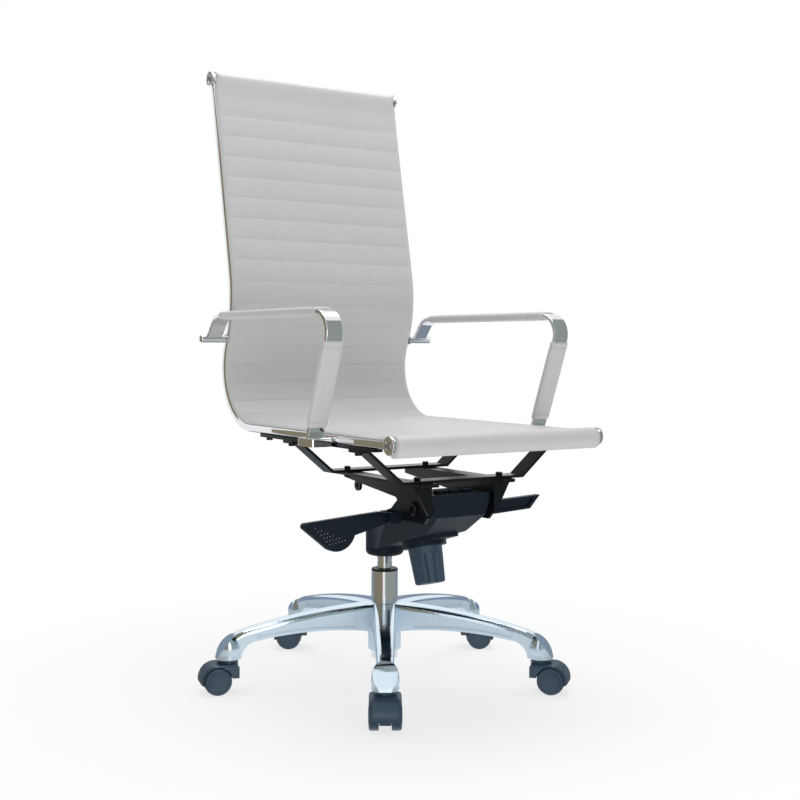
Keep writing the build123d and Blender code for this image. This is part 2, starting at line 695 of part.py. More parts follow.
def lever_blade(outline, thick):
    """Upright lever blade from its front-view outline."""
    face = Plane.XZ * make_face(outline)
    blade = Pos(0, LEVER_Y + thick / 2, 0) * extrude(face, thick)
    return blade


def lever_root(x):
    """Eye and trunnion pins of a lever, turning between the cheeks of the housing."""
    eye_half = CHEEK_GAP / 2 - 0.2
    pin_half = CHEEK_GAP / 2 + CHEEK_THICK
    eye = Plane.XZ * Pos(x, LEVER_Z) * Circle(LEVER_EYE_RADIUS)
    pin = Plane.XZ * Pos(x, LEVER_Z) * Circle(LEVER_PIN_RADIUS)
    root = Pos(0, LEVER_Y + eye_half, 0) * extrude(eye, 2 * eye_half)
    return root + Pos(0, LEVER_Y + pin_half, 0) * extrude(pin, 2 * pin_half)


def height_lever():
    """Paddle on the sitter's right: a level arm ending in a half-round drop."""
    def at(out, up):
        return (-LEVER_X - out, LEVER_Z + up)

    edges = [
        Line(at(0, LEVER_EYE_RADIUS), at(21, 11)),
        Line(at(21, 11), at(169, 1)),
        ThreePointArc(at(169, 1), at(175, -4), at(172, -10)),
        Line(at(172, -10), at(127, -47)),
        ThreePointArc(at(127, -47), at(94, -50), at(72, -26)),
        Line(at(72, -26), at(21, -14)),
        Line(at(21, -14), at(0, -LEVER_EYE_RADIUS)),
        Line(at(0, -LEVER_EYE_RADIUS), at(0, LEVER_EYE_RADIUS)),
    ]
    blade = lever_blade(edges, LEVER_THICK)
    front = blade.faces().sort_by(Axis.Y)[0].edges()
    blade = chamfer([edge for edge in front if edge.center().X < -LEVER_X - 79], 2.0)
    return blade + lever_root(-LEVER_X)


def tilt_lever():
    """Bar on the sitter's left, its end cut on a slant and its front face dished."""
    def at(out, up):
        return (LEVER_X + out, LEVER_Z + up)

    root = [at(21, 12), at(0, LEVER_EYE_RADIUS), at(0, -LEVER_EYE_RADIUS), at(21, -14)]
    blade = lever_blade(Polyline(*root, at(175, -6), at(199, 19), close=True), LEVER_THICK)
    dish = Polyline(at(79, -6), at(169, -2), at(185, 14), at(79, 9), close=True)
    pocket = Plane.XZ * make_face(dish)
    blade -= Pos(0, LEVER_Y - LEVER_THICK / 2 + 4, 0) * extrude(pocket, 8)
    return blade + lever_root(LEVER_X)


def stand_tube():
    """Outer column tube, closed at the bottom round the rod."""
    tube = post(0, 0, STAND_LOW, BUSH_TOP - BUSH_RIM, STAND_RADIUS)
    tube -= post(0, 0, STAND_LOW + STAND_FLOOR, BUSH_TOP, STAND_INSIDE)
    tube -= post(0, 0, STAND_LOW, STAND_LOW + STAND_FLOOR, ROD_RADIUS + RUNNING)
    return tube


def guide_bush():
    """Bush in the top of the column, with the rim that shows above it."""
    bush = post(0, 0, BUSH_LOW, BUSH_TOP - BUSH_RIM, STAND_INSIDE)
    rim = post(0, 0, BUSH_TOP - BUSH_RIM, BUSH_TOP, STAND_RADIUS)
    bush += fillet(rim.faces().sort_by(Axis.Z)[-1].edges(), 1.5)
    return bush - post(0, 0, BUSH_LOW, BUSH_TOP, TUBE_RADIUS + RUNNING)


def thrust_bearing():
    """Bearing on the floor of the column that the rod stands on."""
    low = STAND_LOW + STAND_FLOOR
    ring = post(0, 0, low, low + BEARING_THICK, STAND_INSIDE)
    return ring - post(0, 0, low, low + BEARING_THICK, ROD_RADIUS + RUNNING)


def piston_rod():
    """Rod with its shoulder on the bearing and its piston in the pressure tube."""
    shoulder = STAND_LOW + STAND_FLOOR + BEARING_THICK
    rod = post(0, 0, STAND_LOW - 4, PISTON_LOW + PISTON_THICK, ROD_RADIUS)
    rod += post(0, 0, shoulder + RUNNING, shoulder + 5, 9.0)
    rod += post(0, 0, PISTON_LOW, PISTON_LOW + PISTON_THICK, TUBE_RADIUS - TUBE_WALL - RUNNING)
    return rod


def pressure_tube():
    """Sliding tube of the lift, pressed into the cup of the mechanism."""
    tube = post(0, 0, TUBE_LOW, TUBE_TOP, TUBE_RADIUS)
    tube -= post(0, 0, TUBE_LOW + GLAND, TUBE_TOP - 8, TUBE_RADIUS - TUBE_WALL)
    tube -= post(0, 0, TUBE_LOW, TUBE_LOW + GLAND, ROD_RADIUS + RUNNING)
    groove = post(0, 0, BUSH_TOP + 14, BUSH_TOP + 17, TUBE_RADIUS)
    groove -= post(0, 0, BUSH_TOP + 14, BUSH_TOP + 17, TUBE_RADIUS - 0.9)
    return tube - groove


def release_button():
    """Valve button on top of the pressure tube."""
    return post(0, 0, TUBE_TOP, TUBE_TOP + 5, 5.0)


def leg_top():
    """Upper edge of a leg in its own side view."""
    crest = ThreePointArc((0, HUB_TOP), (150, 136), (270, 113))
    tip = TangentArc((270, 113), (323, FOOT_BOTTOM), tangent=crest % 1)
    return [crest, tip]


def leg_under():
    """Lower edge of a leg in its own side view."""
    return [
        Line((323, FOOT_BOTTOM), (279, FOOT_BOTTOM)),
        ThreePointArc((279, FOOT_BOTTOM), (271, 82), (248, 93)),
        ThreePointArc((248, 93), (150, 103), (52, 99)),
        Line((52, 99), (0, 90)),
        Line((0, 90), (0, HUB_TOP)),
    ]


def leg_plan(inset):
    """Leg seen from above, narrowing outwards."""
    points = [(0, 24 - inset), (330, 13 - inset)]
    other = [(x, -y) for x, y in reversed(points)]
    return make_face(Polyline(*points, *other, close=True))


def base_leg():
    """One leg along +x with its recessed sides and its domed foot."""
    face = Plane.XZ * make_face(leg_top() + leg_under())
    profile = Pos(0, 40, 0) * extrude(face, 80)
    leg = profile & extrude(leg_plan(0), 200)
    crest = [e for e in leg.edges() if abs(e.center().Y) > 10 and e.center().Z > 112 and e.length > 30]
    leg = fillet(crest, 9.0)
    panel = [
        ThreePointArc((64, 133), (165, 123), (250, 106)),
        Line((250, 106), (250, 98)),
        ThreePointArc((250, 98), (155, 108), (64, 105)),
        Line((64, 105), (64, 133)),
    ]
    pocket = Pos(0, 40, 0) * extrude(Plane.XZ * make_face(panel), 80)
    leg -= pocket - extrude(leg_plan(2.0), 200)
    dome = make_face([
        Line((0, FOOT_BOTTOM), (FOOT_RADIUS, FOOT_BOTTOM)),
        Line((FOOT_RADIUS, FOOT_BOTTOM), (FOOT_RADIUS - 0.5, FOOT_BOTTOM + 8)),
        ThreePointArc((FOOT_RADIUS - 0.5, FOOT_BOTTOM + 8), (18, 100), (0, 116)),
        Line((0, 116), (0, FOOT_BOTTOM)),
    ])
    foot = Pos(STEM_CIRCLE, 0, 0) * revolve(Plane.XZ * dome, Axis.Z)
    leg += foot & profile
    return leg


def star_base():
    """Hub with five legs, bored for the column and the caster stems."""
    base = post(0, 0, HUB_LOW, HUB_TOP, HUB_RADIUS)
    base = fillet(base.faces().sort_by(Axis.Z)[-1].edges(), 3.0)
    leg = base_leg()
    for count in range(LEG_COUNT):
        base += Rot(Z=LEG_TURN + 360.0 / LEG_COUNT * count) * leg
    base -= post(0, 0, 0, 200, STAND_RADIUS)
    for place in caster_places():
        base -= place * post(0, 0, FOOT_BOTTOM, FOOT_BOTTOM + 30, STEM_RADIUS)
    return base


def caster_places():
    """Frames of the five casters, +x from the stem towards the wheels."""
    legs = [LEG_TURN + 360.0 / LEG_COUNT * count for count in range(LEG_COUNT)]
    return [Rot(Z=leg) * Pos(STEM_CIRCLE, 0, 0) * Rot(Z=turn) for leg, turn in zip(legs, CASTER_TURNS)]


def caster_stems():
    """Five steel stems pressed into the feet."""
    group = Part()
    for place in caster_places():
        group += place * post(0, 0, 42, FOOT_BOTTOM + 30, STEM_RADIUS)
    return group


def lying(face, half):
    """Side-view face of a caster carried across its width."""
    return Pos(0, half, 0) * extrude(Plane.XZ * face, 2 * half)


def caster_hood():
    """Hood over both wheels: a rounded fender with a tail, a web between the wheels and a neck."""
    axle = (CASTER_TRAIL, WHEEL_RADIUS)
    hood_top = WHEEL_RADIUS + HOOD_RADIUS
    wheel_room = Pos(*axle) * Circle(WHEEL_RADIUS + 1.2)
    shoulder = make_face(Polyline((-16, 30), (-16, 50), (-12, hood_top), (22, hood_top), (22, 30), close=True))
    keep = make_face(Polyline((-20, 30), (20, 30), (20, 20), (60, 20), (60, 60), (-20, 60), close=True))
    drum = lying(Pos(*axle) * Circle(HOOD_RADIUS), HOOD_HALF)
    drum = fillet(drum.edges().filter_by(GeomType.CIRCLE), HOOD_ROUND)
    arch = Pos(0, hood_top - 40) * RectangleRounded(2 * HOOD_HALF, 80, HOOD_ROUND)
    fender = drum + (lying(shoulder, HOOD_HALF) & across(arch, -20, 60))
    hood = (fender & lying(keep, HOOD_HALF)) - lying(wheel_room, HOOD_HALF)
    web = (wheel_room + shoulder) & make_face(
        Polyline((-16, 14), (60, 14), (60, hood_top), (-16, hood_top), close=True)
    )
    hood += lying(web, WEB_HALF)
    hood += post(0, 0, 45, NECK_TOP, NECK_RADIUS) - lying(wheel_room, HOOD_HALF)
    hood += post(0, 0, 45, hood_top, NECK_RADIUS) & lying(web, WEB_HALF)
    hood -= post(0, 0, 41, NECK_TOP, STEM_RADIUS + RUNNING)
    return hood - lying(Pos(*axle) * Circle(AXLE_RADIUS), HOOD_HALF)


def caster_axle():
    """Pin through the web that both wheels run on."""
    return lying(Pos(CASTER_TRAIL, WHEEL_RADIUS) * Circle(AXLE_RADIUS), AXLE_HALF)


def caster_wheel(side_sign):
    """Wheel with a rounded tread, a domed face and a ring groove."""
    wide = WHEEL_OUTSIDE - WHEEL_INSIDE
    wheel = extrude(Circle(WHEEL_RADIUS), wide)
    wheel = fillet(wheel.faces().sort_by(Axis.Z)[0].edges(), 2.0)
    wheel = fillet(wheel.faces().sort_by(Axis.Z)[-1].edges(), 4.0)
    wheel -= Pos(0, 0, wide - 0.8) * extrude(Circle(19.5) - Circle(18.0), 0.8)
    wheel += Pos(0, 0, wide) * extrude(Circle(14.0), 0.6)
    wheel -= extrude(Circle(AXLE_RADIUS + RUNNING), AXLE_HALF - WHEEL_INSIDE + CLEAR)
    turned = Rot(X=-90) * wheel
    left = Pos(CASTER_TRAIL, WHEEL_INSIDE, WHEEL_RADIUS) * turned
    if side_sign < 0:
        return mirror(left, Plane.XZ)
    return left


def save(part, name):
    """Writes one piece to its own file."""
    export_step(part, "parts/" + name + ".step")


def save_casters():
    """Hood, axle and two wheels under each foot."""
    hood = caster_hood()
    axle = caster_axle()
    wheels = {"left": caster_wheel(1), "right": caster_wheel(-1)}
    for count, place in enumerate(caster_places(), 1):
        save(place * hood, f"caster_hood_{count}")
        save(place * axle, f"caster_axle_{count}")
        for side, wheel in wheels.items():
            save(place * wheel, f"caster_wheel_{count}_{side}")


def save_pairs():
    """Pieces made once and mirrored to the other side."""
    makers = {
        "rail": side_rail,
        "arm": arm_frame,
        "arm_sleeve": top_sleeve,
        "post_sleeve": post_sleeve,
        "side_strip": side_strip,
        "carrier": seat_carrier,
        "pivot_plate": pivot_plate,
    }
    for name, maker in makers.items():
        part = maker()
        save(part, name + "_left")
        save(mirrored(part), name + "_right")


def save_single():
    """Pieces made once, and groups of equal fasteners."""
    front, top = roll_centres()
    caps = end_cap(front) + end_cap(top)
    screws = cap_screw(front) + cap_screw(top) + arm_screw_group()
    save(caps + mirrored(caps), "end_caps")
    save(screws + mirrored(screws), "frame_screws")
    save(cross_bar(front), "front_bar")
    save(cross_bar(top), "top_bar")
    save(sling(), "sling")
    save(back_stretcher(), "back_stretcher")
    save(strip_bolts(), "strip_bolts")
    save(cross_strap(FRONT_STRAP_Y), "front_strap")
    save(cross_strap(REAR_STRAP_Y), "rear_strap")
    save(strap_bolts(), "strap_bolts")
    save(tilt_pivot(), "tilt_pivot")
    save(mechanism_housing(), "mechanism_housing")
    save(tension_spindle(), "tension_spindle")
    save(spring_nut(), "spring_nut")
    save(tension_spring(), "tension_spring")
    save(tension_knob(), "tension_knob")
    save(height_lever(), "height_lever")
    save(tilt_lever(), "tilt_lever")
    save(stand_tube(), "stand_tube")
    save(guide_bush(), "guide_bush")
    save(thrust_bearing(), "thrust_bearing")
    save(piston_rod(), "piston_rod")
    save(pressure_tube(), "pressure_tube")
    save(release_button(), "release_button")
    save(star_base(), "star_base")
    save(caster_stems(), "caster_stems")


os.makedirs("parts", exist_ok=True)
save_pairs()
save_single()
save_casters()
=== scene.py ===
"""Dresses the swivel office chair: ribbed sling, arm sleeves, metals, plastics and the studio."""

import json
import logging
import math
from dataclasses import dataclass, field
from enum import Enum
from typing import Any, Sequence

import bmesh
import bpy
import numpy as np
from mathutils import Matrix, Vector


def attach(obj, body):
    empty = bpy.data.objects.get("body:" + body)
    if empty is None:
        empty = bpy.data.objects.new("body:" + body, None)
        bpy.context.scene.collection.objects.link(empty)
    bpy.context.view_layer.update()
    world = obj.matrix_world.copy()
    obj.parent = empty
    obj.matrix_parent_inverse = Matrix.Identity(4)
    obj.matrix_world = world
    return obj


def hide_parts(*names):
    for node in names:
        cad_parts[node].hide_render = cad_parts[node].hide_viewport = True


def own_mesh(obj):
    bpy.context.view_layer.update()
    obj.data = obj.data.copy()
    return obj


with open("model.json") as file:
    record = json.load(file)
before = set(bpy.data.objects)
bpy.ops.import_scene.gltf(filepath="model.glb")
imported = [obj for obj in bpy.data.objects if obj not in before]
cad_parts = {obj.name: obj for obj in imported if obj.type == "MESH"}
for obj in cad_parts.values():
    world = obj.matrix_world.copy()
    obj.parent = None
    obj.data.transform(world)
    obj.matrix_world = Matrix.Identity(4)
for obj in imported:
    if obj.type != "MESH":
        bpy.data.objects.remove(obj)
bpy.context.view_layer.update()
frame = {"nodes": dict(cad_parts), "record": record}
LOG = logging.getLogger("chair")
MM = 0.001
Point = tuple[float, float]


def linear(colour: str) -> tuple[float, float, float, float]:
    """Turns an sRGB hex colour to linear light.

    Args:
        colour: Six hex digits after a hash.

    Returns:
        Linear red, green, blue and an alpha of one.
    """
    parts = [int(colour[start:start + 2], 16) / 255 for start in (1, 3, 5)]
    light = [part / 12.92 if part <= 0.04045 else ((part + 0.055) / 1.055) ** 2.4 for part in parts]
    return (light[0], light[1], light[2], 1.0)


def add_node(tree: bpy.types.NodeTree, kind: str, settings: dict[str, Any] | None = None,
             links: dict[Any, bpy.types.NodeSocket] | None = None) -> bpy.types.Node:
    """Adds one node with its settings and links.

    Args:
        tree: Node tree that takes the node.
        kind: Blender's type name of the node.
        settings: Values by property name, or by input name or number.
        links: Output sockets by the name or number of the input they feed.

    Returns:
        The new node.
    """
    node = tree.nodes.new(kind)
    for name, value in (settings or {}).items():
        if isinstance(name, str) and hasattr(node, name):
            setattr(node, name, value)
        else:
            node.inputs[name].default_value = value
    for name, socket in (links or {}).items():
        tree.links.new(socket, node.inputs[name])
    return node


class Slot(Enum):
    """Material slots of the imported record."""

    LEATHER = "light_leather"
    CHROME = "bright_chrome"
    ALUMINIUM = "polished_aluminium"
    ENAMEL = "black_paint"
    NYLON = "black_plastic"
    CASTER = "caster_plastic"
    STEEL = "steel"


class Body(Enum):
    """Bodies that new pieces ride on."""

    SEAT = "seat"
    CHASSIS = "chassis"
    HEIGHT_LEVER = "height_lever"


@dataclass(frozen=True)
class Finish:
    """One real material: its colour, gloss and the fine relief of its surface."""

    name: str
    colour: str
    roughness: float
    metallic: float = 0.0
    ior: float = 1.5
    grain_mm: float = 1.0
    grain_depth_mm: float = 0.02
    grain_strength: float = 0.2
    cloud_mm: float = 120.0
    cloud_share: float = 0.03
    gloss_change: float = 0.05

    def start(self) -> tuple[bpy.types.Material, bpy.types.Node, bpy.types.Node]:
        """Makes the material with its shader and its Object coordinates.

        Returns:
            The material, its Principled shader and its Texture Coordinate node.
        """
        material = bpy.data.materials.new(self.name)
        material.use_nodes = True
        tree = material.node_tree
        shader = tree.nodes["Principled BSDF"]
        shader.inputs["Metallic"].default_value = self.metallic
        if not self.metallic:
            shader.inputs["IOR"].default_value = self.ior
        place = add_node(tree, "ShaderNodeTexCoord")
        return material, shader, place

    def tint(self, tree: bpy.types.NodeTree, place: bpy.types.Node, shader: bpy.types.Node) -> bpy.types.Node:
        """Clouds the colour and the gloss slowly over the surface.

        Args:
            tree: Node tree of the material.
            place: Texture Coordinate node.
            shader: Principled shader to feed.

        Returns:
            The noise node behind the clouds.
        """
        cloud = add_node(tree, "ShaderNodeTexNoise", {"Scale": 1 / (self.cloud_mm * MM), "Detail": 4.0},
                         {"Vector": place.outputs["Object"]})
        red, green, blue, alpha = linear(self.colour)
        dark = tuple(part * (1 - self.cloud_share) for part in (red, green, blue)) + (alpha,)
        pale = tuple(min(1.0, part * (1 + self.cloud_share)) for part in (red, green, blue)) + (alpha,)
        ramp = add_node(tree, "ShaderNodeMix", {"data_type": "RGBA", 6: dark, 7: pale}, {0: cloud.outputs["Fac"]})
        tree.links.new(ramp.outputs[2], shader.inputs["Base Color"])
        gloss = add_node(tree, "ShaderNodeMapRange",
                         {"From Min": 0.3, "From Max": 0.7, "To Min": max(0.02, self.roughness - self.gloss_change),
                          "To Max": self.roughness + self.gloss_change}, {"Value": cloud.outputs["Fac"]})
        tree.links.new(gloss.outputs["Result"], shader.inputs["Roughness"])
        return cloud

    def relief(self, tree: bpy.types.NodeTree, height: bpy.types.NodeSocket, shader: bpy.types.Node) -> None:
        """Feeds a height pattern to the shader as fine bump.

        Args:
            tree: Node tree of the material.
            height: Output with the height pattern.
            shader: Principled shader to feed.
        """
        settings = {"Strength": self.grain_strength, "Distance": self.grain_depth_mm * MM}
        bump = add_node(tree, "ShaderNodeBump", settings, {"Height": height})
        tree.links.new(bump.outputs["Normal"], shader.inputs["Normal"])

    def material(self) -> bpy.types.Material:
        """Builds the finish with a fine noise grain.

        Returns:
            The finished material.
        """
        material, shader, place = self.start()
        tree = material.node_tree
        self.tint(tree, place, shader)
        grain = add_node(tree, "ShaderNodeTexNoise", {"Scale": 1 / (self.grain_mm * MM), "Detail": 2.0},
                         {"Vector": place.outputs["Object"]})
        self.relief(tree, grain.outputs["Fac"], shader)
        return material


@dataclass(frozen=True)
class Leatherette(Finish):
    """Embossed PU leather: small rounded pebbles with fine valleys between them."""

    sheen: float = 0.08
    sheen_roughness: float = 0.5

    def material(self) -> bpy.types.Material:
        """Builds the leatherette with its pebble grain.

        Returns:
            The finished material.
        """
        material, shader, place = self.start()
        tree = material.node_tree
        self.tint(tree, place, shader)
        pebble = add_node(tree, "ShaderNodeTexVoronoi", {"feature": "SMOOTH_F1", "Scale": 1 / (self.grain_mm * MM)},
                          {"Vector": place.outputs["Object"]})
        self.relief(tree, pebble.outputs["Distance"], shader)
        shader.inputs["Sheen Weight"].default_value = self.sheen
        shader.inputs["Sheen Roughness"].default_value = self.sheen_roughness
        return material


@dataclass(frozen=True)
class CastAluminium(Finish):
    """Cast aluminium, buffed on its upper faces and left satin on its upright sides, which are also made partly
    non-metal so that the pale blue colour shows on them as painted sky reflection.
    """

    side_slope: float = 0.02
    top_slope: float = 0.16
    satin: float = 0.42
    side_metal_for_painted_sky: float = 0.35

    def material(self) -> bpy.types.Material:
        """Builds the metal with its buffed and satin faces.

        Returns:
            The finished material.
        """
        material, shader, place = self.start()
        tree = material.node_tree
        self.tint(tree, place, shader)
        gloss = shader.inputs["Roughness"].links[0].from_socket
        facing = add_node(tree, "ShaderNodeNewGeometry")
        upward = add_node(tree, "ShaderNodeSeparateXYZ", {}, {0: facing.outputs["Normal"]})
        upright = {"From Min": self.side_slope, "From Max": self.top_slope, "To Min": 1.0, "To Max": 0.0}
        share = add_node(tree, "ShaderNodeMapRange", upright, {"Value": upward.outputs["Z"]})
        both = add_node(tree, "ShaderNodeMix", {"data_type": "FLOAT", 3: self.satin},
                        {0: share.outputs["Result"], 2: gloss})
        tree.links.new(both.outputs[0], shader.inputs["Roughness"])
        # Upright sides lose some metal, so the pale blue colour shows on them as painted sky reflection.
        metal = add_node(tree, "ShaderNodeMix", {"data_type": "FLOAT", 2: self.metallic, 3: self.side_metal_for_painted_sky},
                         {0: share.outputs["Result"]})
        tree.links.new(metal.outputs[0], shader.inputs["Metallic"])
        grain = add_node(tree, "ShaderNodeTexNoise", {"Scale": 1 / (self.grain_mm * MM), "Detail": 3.0},
                         {"Vector": place.outputs["Object"]})
        height = add_node(tree, "ShaderNodeMath", {"operation": "MULTIPLY"},
                          {0: grain.outputs["Fac"], 1: share.outputs["Result"]})
        self.relief(tree, height.outputs[0], shader)
        return material


# PU leather, calendered: pale grey and satin, with pebbles of 1.6 mm that only show close by.
LEATHERETTE = Leatherette("pu_leatherette", "#c8c8c7", 0.46, grain_mm=1.6, grain_depth_mm=0.05, grain_strength=0.2,
                          cloud_mm=160.0, cloud_share=0.02, gloss_change=0.06)
# Sewing thread of the same grey, a shade darker; the darkening is painted shade along the seams in the channels.
THREAD = Finish("polyester_thread", "#c3c3c2", 0.6, grain_mm=0.6, grain_depth_mm=0.05, cloud_share=0.05)
# Chrome plate on steel: mirror bright with faint wiping marks.
CHROME = Finish("chrome_plate", "#e4e5e8", 0.05, metallic=1.0, grain_mm=30.0, grain_depth_mm=0.02,
                grain_strength=0.05, cloud_mm=60.0, cloud_share=0.02, gloss_change=0.02)
# Cast aluminium: buffed crests and satin panels; the pale blue of its colour is painted sky reflection.
ALUMINIUM = CastAluminium("buffed_cast_aluminium", "#d9eaf7", 0.11, metallic=1.0, grain_mm=1.2, grain_depth_mm=0.04,
                          grain_strength=0.25, cloud_mm=70.0, cloud_share=0.03, gloss_change=0.03)
# Gloss black enamel on pressed steel: a slight orange peel of 4 mm.
ENAMEL = Finish("black_enamel", "#0b0e13", 0.26, grain_mm=4.0, grain_depth_mm=0.05, grain_strength=0.12, ior=1.32,
                cloud_share=0.08)
# Black oxide on the bolts of the straps: dull black steel with a little shine on its edges.
OXIDE = Finish("black_oxide_steel", "#17191c", 0.34, metallic=0.5, grain_mm=1.5, grain_depth_mm=0.02, cloud_mm=20.0)
# Moulded nylon: black, with a blue cast in its colour that is painted sheen of bluish light; spark-eroded mould
# texture of 0.9 mm.
NYLON = Finish("moulded_nylon", "#15202a", 0.38, grain_mm=0.9, grain_depth_mm=0.05, grain_strength=0.25, ior=1.25,
               cloud_mm=80.0, cloud_share=0.08)
# Polyamide of the casters and the knob: a shade paler and bluer than the housing, partly its own colour and partly
# painted sheen of bluish light; smoother too.
POLYAMIDE = Finish("caster_polyamide", "#2f4557", 0.36, grain_mm=1.1, grain_depth_mm=0.04, grain_strength=0.2,
                   cloud_mm=60.0, cloud_share=0.08)
# Zinc-plated fasteners and hidden shafts.
ZINC = Finish("zinc_plated_steel", "#b4b6b9", 0.28, metallic=1.0, grain_mm=2.0, grain_depth_mm=0.02, cloud_mm=20.0)
# Moulded grip dots, paler than the lever.
GRIP = Finish("pale_dot_nylon", "#7d858c", 0.45, grain_mm=0.8, grain_depth_mm=0.03)

SLOT_FINISH = {
    Slot.LEATHER: LEATHERETTE,
    Slot.CHROME: CHROME,
    Slot.ALUMINIUM: ALUMINIUM,
    Slot.ENAMEL: ENAMEL,
    Slot.NYLON: NYLON,
    Slot.CASTER: POLYAMIDE,
    Slot.STEEL: ZINC,
}
# The bolts are black oxide; the knob takes the paler blue polyamide as a painted highlight on its flutes.
NODE_FINISH = {"strap_bolts": OXIDE, "strip_bolts": OXIDE, "tension_knob": POLYAMIDE}


@dataclass
class Palette:
    """Keeps one Blender material for each finish."""

    made: dict[str, bpy.types.Material] = field(default_factory=dict)

    def get(self, finish: Finish) -> bpy.types.Material:
        """Returns the material of a finish, built on first use."""
        if finish.name not in self.made:
            self.made[finish.name] = finish.material()
        return self.made[finish.name]


def mesh_object(name: str, points: np.ndarray, faces: Sequence[Sequence[int]],
                edges: Sequence[Sequence[int]] = ()) -> bpy.types.Object:
    """Makes a smooth mesh object at the origin.

    Args:
        name: Name of the piece.
        points: Places in millimetres, one row each.
        faces: Corner numbers of each face.
        edges: Loose edges.

    Returns:
        The linked object.
    """
    mesh = bpy.data.meshes.new(name)
    mesh.from_pydata((np.asarray(points, float) * MM).tolist(), list(edges), list(faces))
    for polygon in mesh.polygons:
        polygon.use_smooth = True
    mesh.update()
    piece = bpy.data.objects.new(name, mesh)
    bpy.context.scene.collection.objects.link(piece)
    return piece


def close_outwards(piece: bpy.types.Object) -> None:
    """Merges doubles and turns all faces of a closed mesh outwards."""
    work = bmesh.new()
    work.from_mesh(piece.data)
    bmesh.ops.remove_doubles(work, verts=work.verts, dist=1e-6)
    bmesh.ops.recalc_face_normals(work, faces=work.faces)
    work.to_mesh(piece.data)
    work.free()


def tube_faces(rows: int, around: int) -> list[tuple[int, ...]]:
    """Faces of a tube with closed ends.

    Args:
        rows: Stretches along the tube.
        around: Points in each ring.

    Returns:
        The sides and the two end faces.
    """
    faces: list[tuple[int, ...]] = []
    for row in range(rows):
        first = row * around
        second = first + around
        for step in range(around):
            after = (step + 1) % around
            faces.append((first + step, first + after, second + after, second + step))
    faces.append(tuple(range(around)))
    faces.append(tuple(rows * around + step for step in range(around)))
    return faces


@dataclass(frozen=True)
class SideCurve:
    """A curve in the side view, in millimetres: straight and round stretches in turn."""

    start: Point
    heading: float
    runs: tuple[tuple[float, float], ...]

    @property
    def length(self) -> float:
        """Length of the whole curve."""
        return sum(run for run, turn in self.runs)

    def place(self, along: float) -> tuple[float, float, float]:
        """Follows the curve.

        Args:
            along: Distance from its start.

        Returns:
            The side-view place and the heading in radians.
        """
        y, z = self.start
        heading = self.heading
        for run, turn in self.runs:
            step = min(along, run)
            before = math.radians(heading)
            heading += turn * step / run
            after = math.radians(heading)
            if turn:
                radius = run / math.radians(turn)
                y += radius * (math.sin(after) - math.sin(before))
                z -= radius * (math.cos(after) - math.cos(before))
            else:
                y += step * math.cos(before)
                z += step * math.sin(before)
            along -= step
            if along <= 0:
                break
        return y, z, math.radians(heading)

    def point(self, along: float, offset: float) -> Point:
        """Place beside the curve, to the left of its travel."""
        y, z, heading = self.place(along)
        return y - offset * math.sin(heading), z + offset * math.cos(heading)


def round_run(radius: float, turn: float) -> tuple[float, float]:
    """Length and turn of a round stretch."""
    return radius * math.radians(abs(turn)), turn


RAIL = SideCurve((-352.0, 476.0), 0.0,
                 ((502.0, 0.0), round_run(112.0, 115.0), round_run(229.0, -36.5), (390.0, 0.0)))


def smooth_step(value: float) -> float:
    """Eases from zero to one."""
    value = min(1.0, max(0.0, value))
    return value * value * (3 - 2 * value)


def swell(piece: bpy.types.Object, sewn: np.ndarray, pressure: float, spare: float, frames: int,
          cap_mm: float) -> None:
    """Swells the free part of a closed cover with cloth and keeps the result in its mesh.

    Args:
        piece: Closed mesh object.
        sewn: Weight of each point, one where it is held by a seam.
        pressure: Pressure inside the cover.
        spare: Share of spare cloth between the seams.
        frames: Frames that the cloth runs.
        cap_mm: Furthest that a point may move.
    """
    group = piece.vertex_groups.new(name="sewn")
    for weight in np.unique(sewn):
        group.add(np.nonzero(sewn == weight)[0].tolist(), float(weight), "REPLACE")
    cloth = piece.modifiers.new("cover", "CLOTH")
    settings = cloth.settings
    settings.quality = 6
    settings.mass = 0.3
    settings.tension_stiffness = 15.0
    settings.compression_stiffness = 15.0
    settings.shear_stiffness = 5.0
    settings.bending_stiffness = 0.6
    settings.use_pressure = True
    settings.uniform_pressure_force = pressure
    settings.shrink_min = -spare
    settings.vertex_group_mass = group.name
    settings.effector_weights.gravity = 0.0
    cloth.collision_settings.use_collision = False
    cloth.point_cache.frame_start = 1
    cloth.point_cache.frame_end = frames
    scene = bpy.context.scene
    rest = np.array([point.co for point in piece.data.vertices])
    for number in range(1, frames + 1):
        scene.frame_set(number)
    shown = piece.evaluated_get(bpy.context.evaluated_depsgraph_get())
    moved = np.array([point.co for point in shown.data.vertices])
    shift = moved - rest
    reach = np.linalg.norm(shift, axis=1, keepdims=True)
    limit = cap_mm * MM
    shift *= np.where(reach > 1e-9, limit * np.tanh(reach / limit) / np.maximum(reach, 1e-9), 0.0)
    piece.modifiers.remove(cloth)
    piece.vertex_groups.clear()
    piece.data.vertices.foreach_set("co", (rest + shift).ravel())
    piece.data.update()
    scene.frame_set(1)


